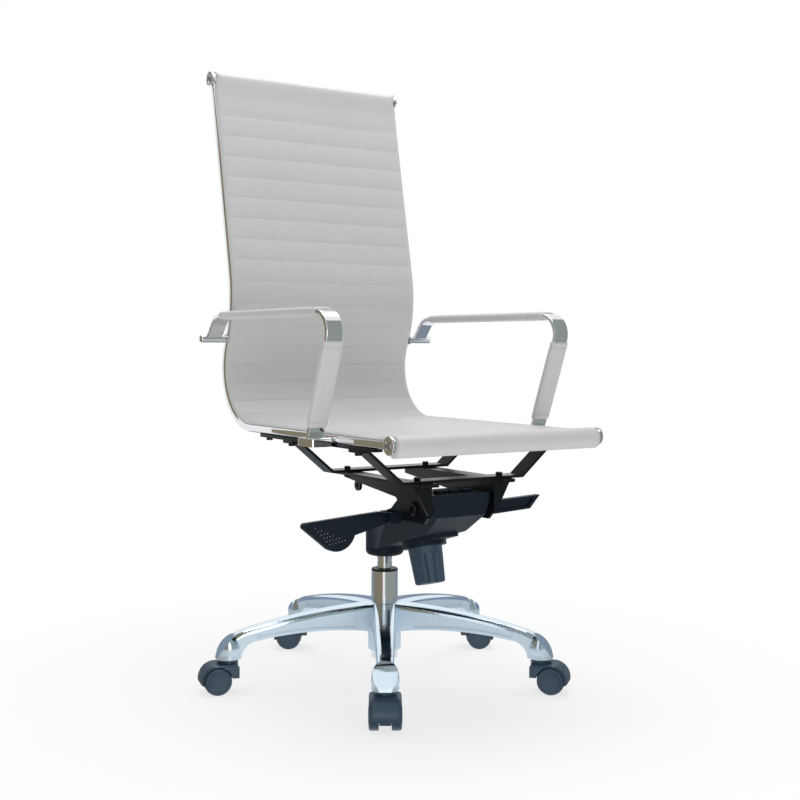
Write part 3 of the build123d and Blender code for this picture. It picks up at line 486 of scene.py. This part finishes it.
class StitchTree:
    """Geometry Nodes tree that lays thread stitches along loose edges."""

    def __init__(self) -> None:
        """Builds the tree once."""
        tree = bpy.data.node_groups.new("stitches", "GeometryNodeTree")
        self.tree = tree
        self.inputs: dict[str, str] = {}
        tree.interface.new_socket("Geometry", in_out="INPUT", socket_type="NodeSocketGeometry")
        for name, value in (("Spacing", 4.0 * MM), ("Length", 2.8 * MM), ("Radius", 0.35 * MM)):
            socket = tree.interface.new_socket(name, in_out="INPUT", socket_type="NodeSocketFloat")
            socket.default_value = value
            self.inputs[name] = socket.identifier
        socket = tree.interface.new_socket("Thread", in_out="INPUT", socket_type="NodeSocketMaterial")
        self.inputs["Thread"] = socket.identifier
        tree.interface.new_socket("Geometry", in_out="OUTPUT", socket_type="NodeSocketGeometry")
        entry = add_node(tree, "NodeGroupInput")
        line = add_node(tree, "GeometryNodeMeshToCurve", {}, {"Mesh": entry.outputs["Geometry"]})
        spaced = add_node(tree, "GeometryNodeResampleCurve", {"mode": "LENGTH"},
                          {"Curve": line.outputs["Curve"], "Length": entry.outputs["Spacing"]})
        stitch = add_node(tree, "GeometryNodeMeshCylinder", {"Vertices": 6},
                          {"Radius": entry.outputs["Radius"], "Depth": entry.outputs["Length"]})
        tangent = add_node(tree, "GeometryNodeInputTangent")
        turned = add_node(tree, "FunctionNodeAlignRotationToVector", {"axis": "Z"},
                          {"Vector": tangent.outputs["Tangent"]})
        laid = add_node(tree, "GeometryNodeInstanceOnPoints", {},
                        {"Points": spaced.outputs["Curve"], "Instance": stitch.outputs["Mesh"],
                         "Rotation": turned.outputs["Rotation"]})
        real = add_node(tree, "GeometryNodeRealizeInstances", {}, {"Geometry": laid.outputs["Instances"]})
        dressed = add_node(tree, "GeometryNodeSetMaterial", {},
                           {"Geometry": real.outputs["Geometry"], "Material": entry.outputs["Thread"]})
        add_node(tree, "NodeGroupOutput", {}, {"Geometry": dressed.outputs["Geometry"]})

    def sew(self, name: str, lines: Sequence[np.ndarray], thread: bpy.types.Material, spacing_mm: float,
            length_mm: float, radius_mm: float) -> bpy.types.Object:
        """Sews stitches along several lines.

        Args:
            name: Name of the piece.
            lines: Points of each seam in millimetres.
            thread: Material of the thread.
            spacing_mm: Distance from stitch to stitch.
            length_mm: Length of a stitch.
            radius_mm: Half the thickness of the thread.

        Returns:
            A plain mesh object with all the stitches.
        """
        points: list[Sequence[float]] = []
        edges: list[tuple[int, int]] = []
        for line in lines:
            first = len(points)
            points.extend(line.tolist())
            edges.extend((number, number + 1) for number in range(first, len(points) - 1))
        guide = mesh_object(name + "_guide", np.array(points), [], edges)
        maker = guide.modifiers.new("stitches", "NODES")
        maker.node_group = self.tree
        for key, value in (("Spacing", spacing_mm * MM), ("Length", length_mm * MM), ("Radius", radius_mm * MM)):
            maker[self.inputs[key]] = value
        maker[self.inputs["Thread"]] = thread
        return plain_copy(guide, name)


def plain_copy(guide: bpy.types.Object, name: str) -> bpy.types.Object:
    """Turns an object with a node modifier to a plain mesh object and removes the first one.

    Args:
        guide: Object whose modifier makes the geometry.
        name: Name of the new piece.

    Returns:
        The plain mesh object.
    """
    shown = guide.evaluated_get(bpy.context.evaluated_depsgraph_get())
    mesh = bpy.data.meshes.new_from_object(shown)
    mesh.name = name
    piece = bpy.data.objects.new(name, mesh)
    bpy.context.scene.collection.objects.link(piece)
    bpy.data.objects.remove(guide)
    return piece


@dataclass
class Sling:
    """The ribbed cover of seat and back, wrapped round the front roll and the top roll."""

    palette: Palette
    stitches: StitchTree
    half_panel: float = 200.6
    half_roll: float = 207.6
    half_cover: float = 211.0
    roll_radius: float = 15.5
    front_radius: float = 18.0
    front_drop: float = 2.5
    rear: float = -2.0
    hem: float = 7.25
    channel: float = 10.2
    crown: float = 0.6
    plain_face: float = 11.4
    front_plain: float = 58.0
    top_plain: float = 75.0
    rib_count: int = 27
    rib_rows: tuple[float, ...] = (0.0, 0.025, 0.06, 0.14, 0.3, 0.5, 0.7, 0.86, 0.94, 0.975)
    columns: int = 66
    roll_steps: int = 14
    plain_steps: int = 14
    face_ease: float = 40.0
    seam_ease: float = 14.0
    back_ease: float = 28.0
    edge: float = 9.0
    edge_drop: float = 3.0
    edge_curve: float = 2.2
    pressure: float = 9.0
    spare: float = 0.003
    frames: int = 16
    swell_cap: float = 0.55
    stitch: tuple[float, float, float] = (4.2, 3.0, 0.3)

    @property
    def pitch(self) -> float:
        """Distance from seam to seam."""
        return (RAIL.length - self.front_plain - self.top_plain) / self.rib_count

    def stations(self) -> tuple[np.ndarray, np.ndarray]:
        """Distances along the rail of all rows, and which of them are seams.

        Returns:
            The distances and a matching array of flags.
        """
        ribs = [self.front_plain + self.pitch * (rib + share)
                for rib in range(self.rib_count) for share in self.rib_rows]
        ribs.append(RAIL.length - self.top_plain)
        front = np.linspace(0.0, self.front_plain, self.plain_steps)[:-1]
        top = np.linspace(0.0, self.top_plain, self.plain_steps)[:-1]
        along = np.concatenate([front, ribs, RAIL.length - top[::-1]])
        seam = np.zeros(len(along), bool)
        seam[len(front):len(front) + len(ribs):len(self.rib_rows)] = True
        return along, seam

    def front_offset(self, along: float) -> float:
        """Height of the cover's face over the rail's centre line, before it swells."""
        from_end = min(along, RAIL.length - along)
        plain = self.front_plain if along < RAIL.length / 2 else self.top_plain
        if from_end < plain:
            fall = smooth_step(from_end / self.face_ease)
            face = self.roll_radius + (self.plain_face - self.roll_radius) * fall
            near = smooth_step((from_end - plain + self.seam_ease) / self.seam_ease)
            return face + (self.channel - face) * near
        share = ((along - self.front_plain) / self.pitch) % 1.0
        return self.channel + self.crown * (1.0 - abs(2 * share - 1.0) ** 4)

    def rear_offset(self, along: float) -> float:
        """Height of the cover's back over the rail's centre line."""
        from_end = min(along, RAIL.length - along)
        low = -self.front_drop - self.front_radius if along < RAIL.length / 2 else -self.roll_radius
        return low + (self.rear - low) * smooth_step(from_end / self.back_ease)

    def half_width(self, along: float) -> float:
        """Half the width of the face: full over the rails, less round the rolls."""
        from_end = min(along, RAIL.length - along)
        return self.half_roll + (self.half_cover - self.half_roll) * smooth_step((from_end - 10.0) / 12.0)

    def half_back(self, along: float) -> float:
        """Half the width of the back: between the rails, wider where it turns round a roll."""
        from_end = min(along, RAIL.length - along)
        wide = self.half_roll - 0.2
        return wide + (self.half_panel - wide) * smooth_step((from_end - 8.0) / 8.0)

    def roll_arc(self, along: float, turn: float, radius: float, drop: float) -> list[Point]:
        """Points round a roll from the face to the back.

        Args:
            along: Distance of the roll's centre along the rail.
            turn: One at the top roll, minus one at the front roll.
            radius: Radius of the roll.
            drop: How far the roll hangs below the rail's centre line.

        Returns:
            Side-view points between the face and the back.
        """
        y, z, heading = RAIL.place(along)
        points = []
        for step in range(1, self.roll_steps):
            angle = heading + math.pi / 2 - turn * math.pi * step / self.roll_steps
            points.append((y + radius * math.cos(angle), z - drop + radius * math.sin(angle)))
        return points

    def build(self) -> bpy.types.Object:
        """Makes the closed cover, swells its ribs and sews its channels.

        Returns:
            The cover.
        """
        along, seam = self.stations()
        count = len(along)
        top_arc = self.roll_arc(RAIL.length, 1.0, self.roll_radius, 0.0)
        front_arc = self.roll_arc(0.0, -1.0, self.front_radius, self.front_drop)
        ring: list[tuple[float, float, float, float]] = []
        held: list[float] = []
        for distance, sewn in zip(along, seam):
            y, z = RAIL.point(distance, self.front_offset(distance))
            ring.append((y, z, self.half_width(distance), 1.0))
            ribbed = self.front_plain < distance < RAIL.length - self.top_plain
            held.append(0.0 if ribbed and not sewn else 1.0)
        for y, z in top_arc:
            ring.append((y, z, self.half_roll, 0.0))
            held.append(1.0)
        for distance in along[::-1]:
            y, z = RAIL.point(distance, self.rear_offset(distance))
            ring.append((y, z, self.half_back(distance), 0.0))
            held.append(1.0)
        for y, z in reversed(front_arc):
            ring.append((y, z, self.half_roll, 0.0))
            held.append(1.0)
        size = len(ring)
        shares = np.linspace(-1.0, 1.0, self.columns + 1)
        points = []
        sewn_weights = []
        for share in shares:
            edge = abs(share)
            for number, (y, z, half, face) in enumerate(ring):
                x = share * half
                if face:
                    drop = self.edge_drop * max(0.0, (abs(x) - half + self.edge) / self.edge) ** self.edge_curve
                    distance = along[number]
                    y, z = RAIL.point(distance, max(self.hem + 0.4, self.front_offset(distance) - drop))
                points.append((x, y, z))
                side = smooth_step((edge - 0.93) / 0.05)
                sewn_weights.append(max(held[number], side))
        faces = []
        for column in range(self.columns):
            first = column * size
            for number in range(size):
                after = (number + 1) % size
                faces.append((first + number, first + after, first + size + after, first + size + number))
        faces += self.sides(points, sewn_weights, along, size, count)
        cover = mesh_object("sling_cover", np.array(points), faces)
        close_outwards(cover)
        cover.data.materials.append(self.palette.get(LEATHERETTE))
        swell(cover, np.array(sewn_weights), self.pressure, self.spare, self.frames, self.swell_cap)
        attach(cover, Body.SEAT.value)
        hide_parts("sling")
        self.sew(along[seam])
        return cover

    def sides(self, points: list[tuple[float, float, float]], weights: list[float], along: np.ndarray, size: int,
              count: int) -> list[tuple[int, ...]]:
        """Closes both sides: a hem on the rail, then the edge of the panel.

        Args:
            points: Points so far; the hem's points are added.
            weights: Seam weights so far; the hem's weights are added.
            along: Distances of the rows.
            size: Points in one column.
            count: Rows of the face.

        Returns:
            Faces of the two sides.
        """
        faces: list[tuple[int, ...]] = []
        top = size - 2 * count
        for sign, first in ((-1.0, 0), (1.0, self.columns * size)):
            inner = []
            outer = []
            for distance in along:
                y, z = RAIL.point(distance, min(self.hem, self.front_offset(distance)))
                outer.append(len(points))
                points.append((sign * self.half_width(distance), y, z))
                weights.append(1.0)
                inner.append(len(points))
                points.append((sign * self.half_back(distance), y, z))
                weights.append(1.0)
            face = [first + number for number in range(count)]
            back = [first + count + top // 2 + count - 1 - number for number in range(count)]
            for number in range(count - 1):
                after = number + 1
                faces.append((face[number], outer[number], outer[after], face[after]))
                faces.append((outer[number], inner[number], inner[after], outer[after]))
                faces.append((inner[number], back[number], back[after], inner[after]))
            top_roll = [first + count + number for number in range(top // 2)]
            low_roll = [first + size - 1 - number for number in range(top // 2)]
            faces.append((face[-1], outer[-1], inner[-1], back[-1], *reversed(top_roll)))
            faces.append((face[0], outer[0], inner[0], back[0], *reversed(low_roll)))
        return faces

    def sew(self, seams: np.ndarray) -> None:
        """Lays thread along each channel, just over the face."""
        lines = []
        for distance in seams:
            y, z = RAIL.point(distance, self.channel + 0.1)
            across = np.linspace(-self.half_cover + self.edge, self.half_cover - self.edge, 40)
            lines.append(np.column_stack([across, np.full(40, y), np.full(40, z)]))
        thread = self.stitches.sew("channel_stitches", lines, self.palette.get(THREAD), *self.stitch)
        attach(thread, Body.SEAT.value)


@dataclass
class ArmSleeves:
    """Padded sleeves on the level part and the post of both arms."""

    palette: Palette
    stitches: StitchTree
    centre: float = 240.0
    half_wide: float = 18.4
    pin: Point = (246.0, 645.0)
    top: float = 688.5
    rear_slope: float = 50.0
    rear_radius: float = 48.0
    corner_y: float = -239.0
    corner_radius: float = 35.0
    lean: float = 21.0
    post_low: float = 496.0
    post_foot: float = 470.5
    arm_half_thick: float = 7.7
    post_half_thick: float = 6.8
    hem: float = 4.0
    sewn_inset: float = 11.0
    side_curve: float = 0.5
    face_curve: float = 0.62
    stitch: tuple[float, float, float] = (3.6, 2.6, 0.35)
    around: int = 40
    lengthwise: int = 72

    def curve(self) -> tuple[SideCurve, float, float, float, float]:
        """Works out the arm's side-view curve.

        Returns:
            The curve and the distances where the two sleeves start and stop.
        """
        slope = math.radians(self.rear_slope)
        lean = math.radians(self.lean)
        stub = (self.top - self.pin[1] - self.rear_radius * (1 - math.cos(slope))) / math.sin(slope)
        level_y = self.pin[0] - stub * math.cos(slope) - self.rear_radius * math.sin(slope)
        turn = 90.0 + self.lean
        reach = self.corner_radius * math.tan(math.radians(turn / 2))
        run = level_y - self.corner_y - reach
        post_top = self.top - reach * math.cos(lean)
        post = (post_top - self.post_foot) / math.cos(lean)
        runs = ((stub, 0.0), round_run(self.rear_radius, self.rear_slope), (run, 0.0),
                round_run(self.corner_radius, turn), (post, 0.0))
        curve = SideCurve(self.pin, 180.0 - self.rear_slope, runs)
        level = stub + runs[1][0]
        post_start = level + run + runs[3][0]
        return curve, level, level + run, post_start, post_start + (post_top - self.post_low) / math.cos(lean)

    def sleeve(self, name: str, node: str, sign: float, start: float, stop: float, half_thick: float) -> None:
        """Makes one sleeve with rounded hems and a sewn edge.

        Args:
            name: Name of the piece.
            node: CAD node that it stands for.
            sign: One on the left arm, minus one on the right.
            start: Distance along the arm where it starts.
            stop: Distance along the arm where it stops.
            half_thick: Half its thickness.
        """
        curve = self.curve()[0]
        points = []
        rows = self.lengthwise
        for row in range(rows + 1):
            along = start + (stop - start) * row / rows
            from_end = min(along - start, stop - along)
            round_off = math.sqrt(max(0.0, 1 - (1 - min(1.0, from_end / self.hem)) ** 2))
            shrink = 2.2 * (1 - round_off)
            puff = 0.5 * smooth_step(from_end / 40.0)
            crease = 0.7 * math.exp(-((from_end - self.sewn_inset) / 1.6) ** 2)
            wide = self.half_wide - shrink - crease * 0.6 + puff * 0.3
            thick = half_thick - shrink - crease + puff
            for step in range(self.around):
                angle = 2 * math.pi * step / self.around
                cosine, sine = math.cos(angle), math.sin(angle)
                x = wide * math.copysign(abs(cosine) ** self.side_curve, cosine)
                seam = 0.6 * math.exp(-((abs(x) / wide - 0.72) / 0.07) ** 2)
                offset = (thick - seam) * math.copysign(abs(sine) ** self.face_curve, sine)
                y, z = curve.point(along, offset)
                points.append((sign * (self.centre + x), y, z))
        pad = mesh_object(name, np.array(points), tube_faces(rows, self.around))
        close_outwards(pad)
        pad.data.materials.append(self.palette.get(LEATHERETTE))
        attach(pad, Body.SEAT.value)
        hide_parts(node)
        lines = []
        for edge in (start + self.sewn_inset, stop - self.sewn_inset):
            ring = []
            for step in range(self.around * 2 + 1):
                angle = math.pi * step / self.around
                cosine, sine = math.cos(angle), math.sin(angle)
                x = (self.half_wide - 0.3) * math.copysign(abs(cosine) ** self.side_curve, cosine)
                offset = (half_thick - 0.15) * math.copysign(abs(sine) ** self.face_curve, sine)
                y, z = curve.point(edge, offset)
                ring.append((sign * (self.centre + x), y, z))
            lines.append(np.array(ring))
        thread = self.stitches.sew(name + "_stitches", lines, self.palette.get(THREAD), *self.stitch)
        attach(thread, Body.SEAT.value)

    def build(self) -> list[str]:
        """Makes all four sleeves.

        Returns:
            Their names.
        """
        level, level_stop, post, post_stop = self.curve()[1:]
        names = []
        for side, sign in (("left", 1.0), ("right", -1.0)):
            self.sleeve(f"arm_pad_{side}", f"arm_sleeve_{side}", sign, level, level_stop, self.arm_half_thick)
            self.sleeve(f"post_pad_{side}", f"post_sleeve_{side}", sign, post, post_stop, self.post_half_thick)
            names += [f"arm_pad_{side}", f"post_pad_{side}"]
        return names


@dataclass
class PaddleGrip:
    """Raised dots on the face of the height lever."""

    palette: Palette
    face_y: float = -131.5
    first: Point = (-223.4, 319.8)
    row_step: Point = (5.64, -6.1)
    dot_step: Point = (6.2, 1.0)
    rows: int = 6
    dot_radius: float = 1.1

    def places(self) -> np.ndarray:
        """Places of the dots in millimetres: each row along the slanted edge holds one dot more."""
        spots = []
        for row in range(self.rows):
            for step in range(row + 1):
                x = self.first[0] + self.row_step[0] * row + self.dot_step[0] * step
                z = self.first[1] + self.row_step[1] * row + self.dot_step[1] * step
                spots.append((x, self.face_y, z))
        return np.array(spots)

    def build(self) -> bpy.types.Object:
        """Makes the dots with Geometry Nodes.

        Returns:
            One plain mesh with all the dots.
        """
        tree = bpy.data.node_groups.new("grip_dots", "GeometryNodeTree")
        tree.interface.new_socket("Geometry", in_out="INPUT", socket_type="NodeSocketGeometry")
        size = tree.interface.new_socket("Radius", in_out="INPUT", socket_type="NodeSocketFloat")
        finish = tree.interface.new_socket("Finish", in_out="INPUT", socket_type="NodeSocketMaterial")
        tree.interface.new_socket("Geometry", in_out="OUTPUT", socket_type="NodeSocketGeometry")
        entry = add_node(tree, "NodeGroupInput")
        dot = add_node(tree, "GeometryNodeMeshIcoSphere", {"Subdivisions": 2}, {"Radius": entry.outputs["Radius"]})
        flat = add_node(tree, "GeometryNodeTransform", {"Scale": (1.0, 0.5, 1.0)},
                        {"Geometry": dot.outputs["Mesh"]})
        spots = add_node(tree, "GeometryNodeMeshToPoints", {}, {"Mesh": entry.outputs["Geometry"]})
        laid = add_node(tree, "GeometryNodeInstanceOnPoints", {},
                        {"Points": spots.outputs["Points"], "Instance": flat.outputs["Geometry"]})
        real = add_node(tree, "GeometryNodeRealizeInstances", {}, {"Geometry": laid.outputs["Instances"]})
        dressed = add_node(tree, "GeometryNodeSetMaterial", {},
                           {"Geometry": real.outputs["Geometry"], "Material": entry.outputs["Finish"]})
        add_node(tree, "NodeGroupOutput", {}, {"Geometry": dressed.outputs["Geometry"]})
        guide = mesh_object("grip_guide", self.places(), [])
        maker = guide.modifiers.new("grip_dots", "NODES")
        maker.node_group = tree
        maker[size.identifier] = self.dot_radius * MM
        maker[finish.identifier] = self.palette.get(GRIP)
        dots = plain_copy(guide, "paddle_grip_dots")
        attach(dots, Body.HEIGHT_LEVER.value)
        return dots


@dataclass
class TensionCoil:
    """Wound tilt spring between the nut and the roof of its chamber, made at one fixed length."""

    palette: Palette
    foot: float = 16.5
    roof: float = 40.0
    radius: float = 13.0
    wire_radius: float = 2.5
    turns: float = 3.2
    end_gap: float = 0.2
    travel: float = 6.2
    steps: int = 96
    around: int = 12

    def build(self) -> bpy.types.Object:
        """Winds the wire round the knob's axis and hangs it on the chassis.

        Returns:
            The spring.
        """
        knob = next(row for row in frame["record"]["behaviour"]["joints"] if row["name"] == "knob_turn")
        start = Vector(knob["pos_m"]) / MM
        axis = Vector(knob["axis"])
        across = Vector((1.0, 0.0, 0.0))
        third = axis.cross(across)
        low = self.foot + self.wire_radius + self.end_gap
        rise = self.roof - self.wire_radius - self.end_gap - low
        points = []
        for step in range(self.steps + 1):
            share = step / self.steps
            turn = 2 * math.pi * self.turns * share
            outward = across * math.cos(turn) + third * math.sin(turn)
            for number in range(self.around):
                angle = 2 * math.pi * number / self.around
                up = low + rise * share + self.wire_radius * math.sin(angle)
                points.append(start + axis * up + outward * (self.radius + self.wire_radius * math.cos(angle)))
        coil = mesh_object("tension_coil", np.array(points), tube_faces(self.steps, self.around))
        close_outwards(coil)
        coil.data.materials.append(self.palette.get(ZINC))
        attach(coil, Body.CHASSIS.value)
        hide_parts("tension_spring")
        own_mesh(coil)
        return coil


@dataclass
class Frame:
    """The CAD pieces that show as they are, in their finishes."""

    palette: Palette

    def dress(self) -> int:
        """Gives each CAD node the finish of its record slot.

        Returns:
            How many nodes were dressed.
        """
        slots = {row["node"]: row["material_slot"] for row in frame["record"]["subparts"]}
        for node, piece in frame["nodes"].items():
            finish = NODE_FINISH.get(node, SLOT_FINISH[Slot(slots[node])])
            material = self.palette.get(finish)
            for place in piece.material_slots:
                place.material = material
        return len(frame["nodes"])


@dataclass(frozen=True)
class Card:
    """Sheet of one colour that only mirrors see, bent round the chair or laid round it on the floor."""

    name: str
    colour: str
    first: float
    last: float
    low: float = 0.0
    high: float = 1300.0
    radius: float = 580.0
    reach: float = 0.0
    steps: int = 24

    def build(self, azimuth: float) -> None:
        """Bends the sheet round the chair.

        Args:
            azimuth: Bearing of the camera, from which the sheet's two bearings count to the right.
        """
        points = []
        faces = []
        for step in range(self.steps + 1):
            turn = math.radians(azimuth + self.first + (self.last - self.first) * step / self.steps)
            for radius, z in ((self.radius, self.low), (self.radius + self.reach, self.high)):
                points.append((radius * math.sin(turn), -radius * math.cos(turn), z))
            if step:
                faces.append((2 * step - 2, 2 * step, 2 * step + 1, 2 * step - 1))
        sheet = mesh_object(self.name, np.array(points), faces)
        paint = bpy.data.materials.new(self.name)
        paint.use_nodes = True
        tree = paint.node_tree
        glow = add_node(tree, "ShaderNodeEmission", {"Color": linear(self.colour), "Strength": 1.0})
        tree.links.new(glow.outputs[0], tree.nodes["Material Output"].inputs["Surface"])
        sheet.data.materials.append(paint)
        sheet.visible_camera = False
        sheet.visible_diffuse = False
        sheet.visible_transmission = False
        sheet.visible_shadow = False


# The photographed metal mirrors a brown floor, a brown wall to the left of the camera and a grey-green one
# to its right. A low blue-grey one behind the chair and a small grey one by the top caps are guesses.
CARDS = (
    Card("floor_card", "#8b857b", -180.0, 180.0, low=3.0, high=3.0, radius=345.0, reach=234.0, steps=48),
    Card("brown_card", "#8a8370", -104.0, -16.0),
    Card("cap_card", "#8f948e", -130.0, -104.0, low=1190.0),
    Card("grey_card", "#98a09c", 4.0, 104.0),
    Card("rear_card", "#8b95a3", 104.0, 256.0, high=260.0, radius=640.0),
)


@dataclass
class Studio:
    """Camera, lamps, pale floor, mirror cards and white surround."""

    azimuth: float = -32.29
    distance: float = 2.336
    height: float = 0.632
    yaw: float = -0.69
    pitch: float = 2.5
    roll: float = 0.18
    focal_pixels: float = 1237.6
    frame_pixels: float = 800.0
    surround: float = 0.46
    floor_near: float = 0.35
    floor_far: float = 1.0
    floor_glow: float = 0.74
    floor_half: float = 9000.0
    lamp_aim: tuple[float, float, float] = (0.0, 0.0, 0.6)

    def camera(self) -> None:
        """Sets the camera at the photograph's viewing angle."""
        data = bpy.data.cameras.new("view")
        data.sensor_width = 36.0
        data.sensor_fit = "HORIZONTAL"
        data.lens = self.focal_pixels / self.frame_pixels * data.sensor_width
        data.clip_end = 50.0
        camera = bpy.data.objects.new("view", data)
        turn = math.radians(self.azimuth)
        spot = Vector((self.distance * math.sin(turn), -self.distance * math.cos(turn), self.height))
        look = Matrix.Rotation(math.radians(self.azimuth + self.yaw), 4, "Z")
        look @= Matrix.Rotation(math.radians(90.0 - self.pitch), 4, "X")
        look @= Matrix.Rotation(math.radians(self.roll), 4, "Z")
        camera.matrix_world = Matrix.Translation(spot) @ look
        bpy.context.scene.collection.objects.link(camera)
        bpy.context.scene.camera = camera

    def floor(self) -> None:
        """Lays a plain pale floor that takes the chair's shadow and fades to white further out."""
        half = self.floor_half
        corners = np.array([(-half, -half, 0), (half, -half, 0), (half, half, 0), (-half, half, 0)])
        sheet = mesh_object("floor", corners, [(0, 1, 2, 3)])
        paint = bpy.data.materials.new("pale_floor")
        paint.use_nodes = True
        tree = paint.node_tree
        tree.nodes.remove(tree.nodes["Principled BSDF"])
        place = add_node(tree, "ShaderNodeTexCoord")
        reach = add_node(tree, "ShaderNodeVectorMath", {"operation": "LENGTH"}, {0: place.outputs["Object"]})
        fade = add_node(tree, "ShaderNodeMapRange",
                        {"interpolation_type": "SMOOTHSTEP", "From Min": self.floor_near,
                         "From Max": self.floor_far, "To Min": self.floor_glow}, {"Value": reach.outputs["Value"]})
        dull = add_node(tree, "ShaderNodeBsdfDiffuse", {"Color": linear("#fbfbfb")})
        white = add_node(tree, "ShaderNodeEmission", {"Color": linear("#ffffff"), "Strength": 1.0})
        both = add_node(tree, "ShaderNodeMixShader", {},
                        {0: fade.outputs["Result"], 1: dull.outputs[0], 2: white.outputs[0]})
        tree.links.new(both.outputs[0], tree.nodes["Material Output"].inputs["Surface"])
        sheet.data.materials.append(paint)

    def lamp(self, name: str, place: tuple[float, float, float], size: float, power: float) -> None:
        """Hangs one soft lamp that looks at the middle of the chair.

        Args:
            name: Name of the lamp.
            place: Where it hangs, in metres.
            size: Side of its square.
            power: Its strength in watts.
        """
        data = bpy.data.lights.new(name, "AREA")
        data.size = size
        data.energy = power
        lamp = bpy.data.objects.new(name, data)
        lamp.location = place
        lamp.rotation_euler = (Vector(self.lamp_aim) - Vector(place)).to_track_quat("-Z", "Y").to_euler()
        bpy.context.scene.collection.objects.link(lamp)

    def world(self) -> None:
        """Surrounds the scene with soft white light, plain white where it is seen or mirrored."""
        world = bpy.data.worlds.new("surround")
        bpy.context.scene.world = world
        world.use_nodes = True
        tree = world.node_tree
        tree.nodes.clear()
        path = add_node(tree, "ShaderNodeLightPath")
        mirrored = add_node(tree, "ShaderNodeMath", {"operation": "MAXIMUM"},
                            {0: path.outputs["Is Glossy Ray"], 1: path.outputs["Is Transmission Ray"]})
        seen = add_node(tree, "ShaderNodeMath", {"operation": "MAXIMUM"},
                        {0: path.outputs["Is Camera Ray"], 1: mirrored.outputs[0]})
        soft = add_node(tree, "ShaderNodeBackground", {"Color": linear("#f4f6f9"), "Strength": self.surround})
        white = add_node(tree, "ShaderNodeBackground", {"Color": linear("#ffffff"), "Strength": 1.0})
        both = add_node(tree, "ShaderNodeMixShader", {},
                        {0: seen.outputs[0], 1: soft.outputs[0], 2: white.outputs[0]})
        add_node(tree, "ShaderNodeOutputWorld", {}, {"Surface": both.outputs[0]})

    def build(self) -> None:
        """Sets up the whole studio."""
        bpy.context.scene.view_settings.view_transform = "Standard"
        self.camera()
        self.floor()
        self.world()
        for card in CARDS:
            card.build(self.azimuth)
        self.lamp("key_lamp", (0.25, 0.3, 3.0), 2.0, 53.0)
        self.lamp("front_fill", (-0.5, -2.2, 0.4), 1.4, 11.0)


def main() -> None:
    """Builds the dressed chair and its studio in order."""
    logging.basicConfig(level=logging.INFO, format="%(message)s")
    palette = Palette()
    stitches = StitchTree()
    LOG.info("dressed %d CAD nodes", Frame(palette).dress())
    LOG.info("made %s", Sling(palette, stitches).build().name)
    LOG.info("made %s", ", ".join(ArmSleeves(palette, stitches).build()))
    LOG.info("made %s", PaddleGrip(palette).build().name)
    LOG.info("made %s", TensionCoil(palette).build().name)
    Studio().build()


if __name__ == "__main__":
    main()
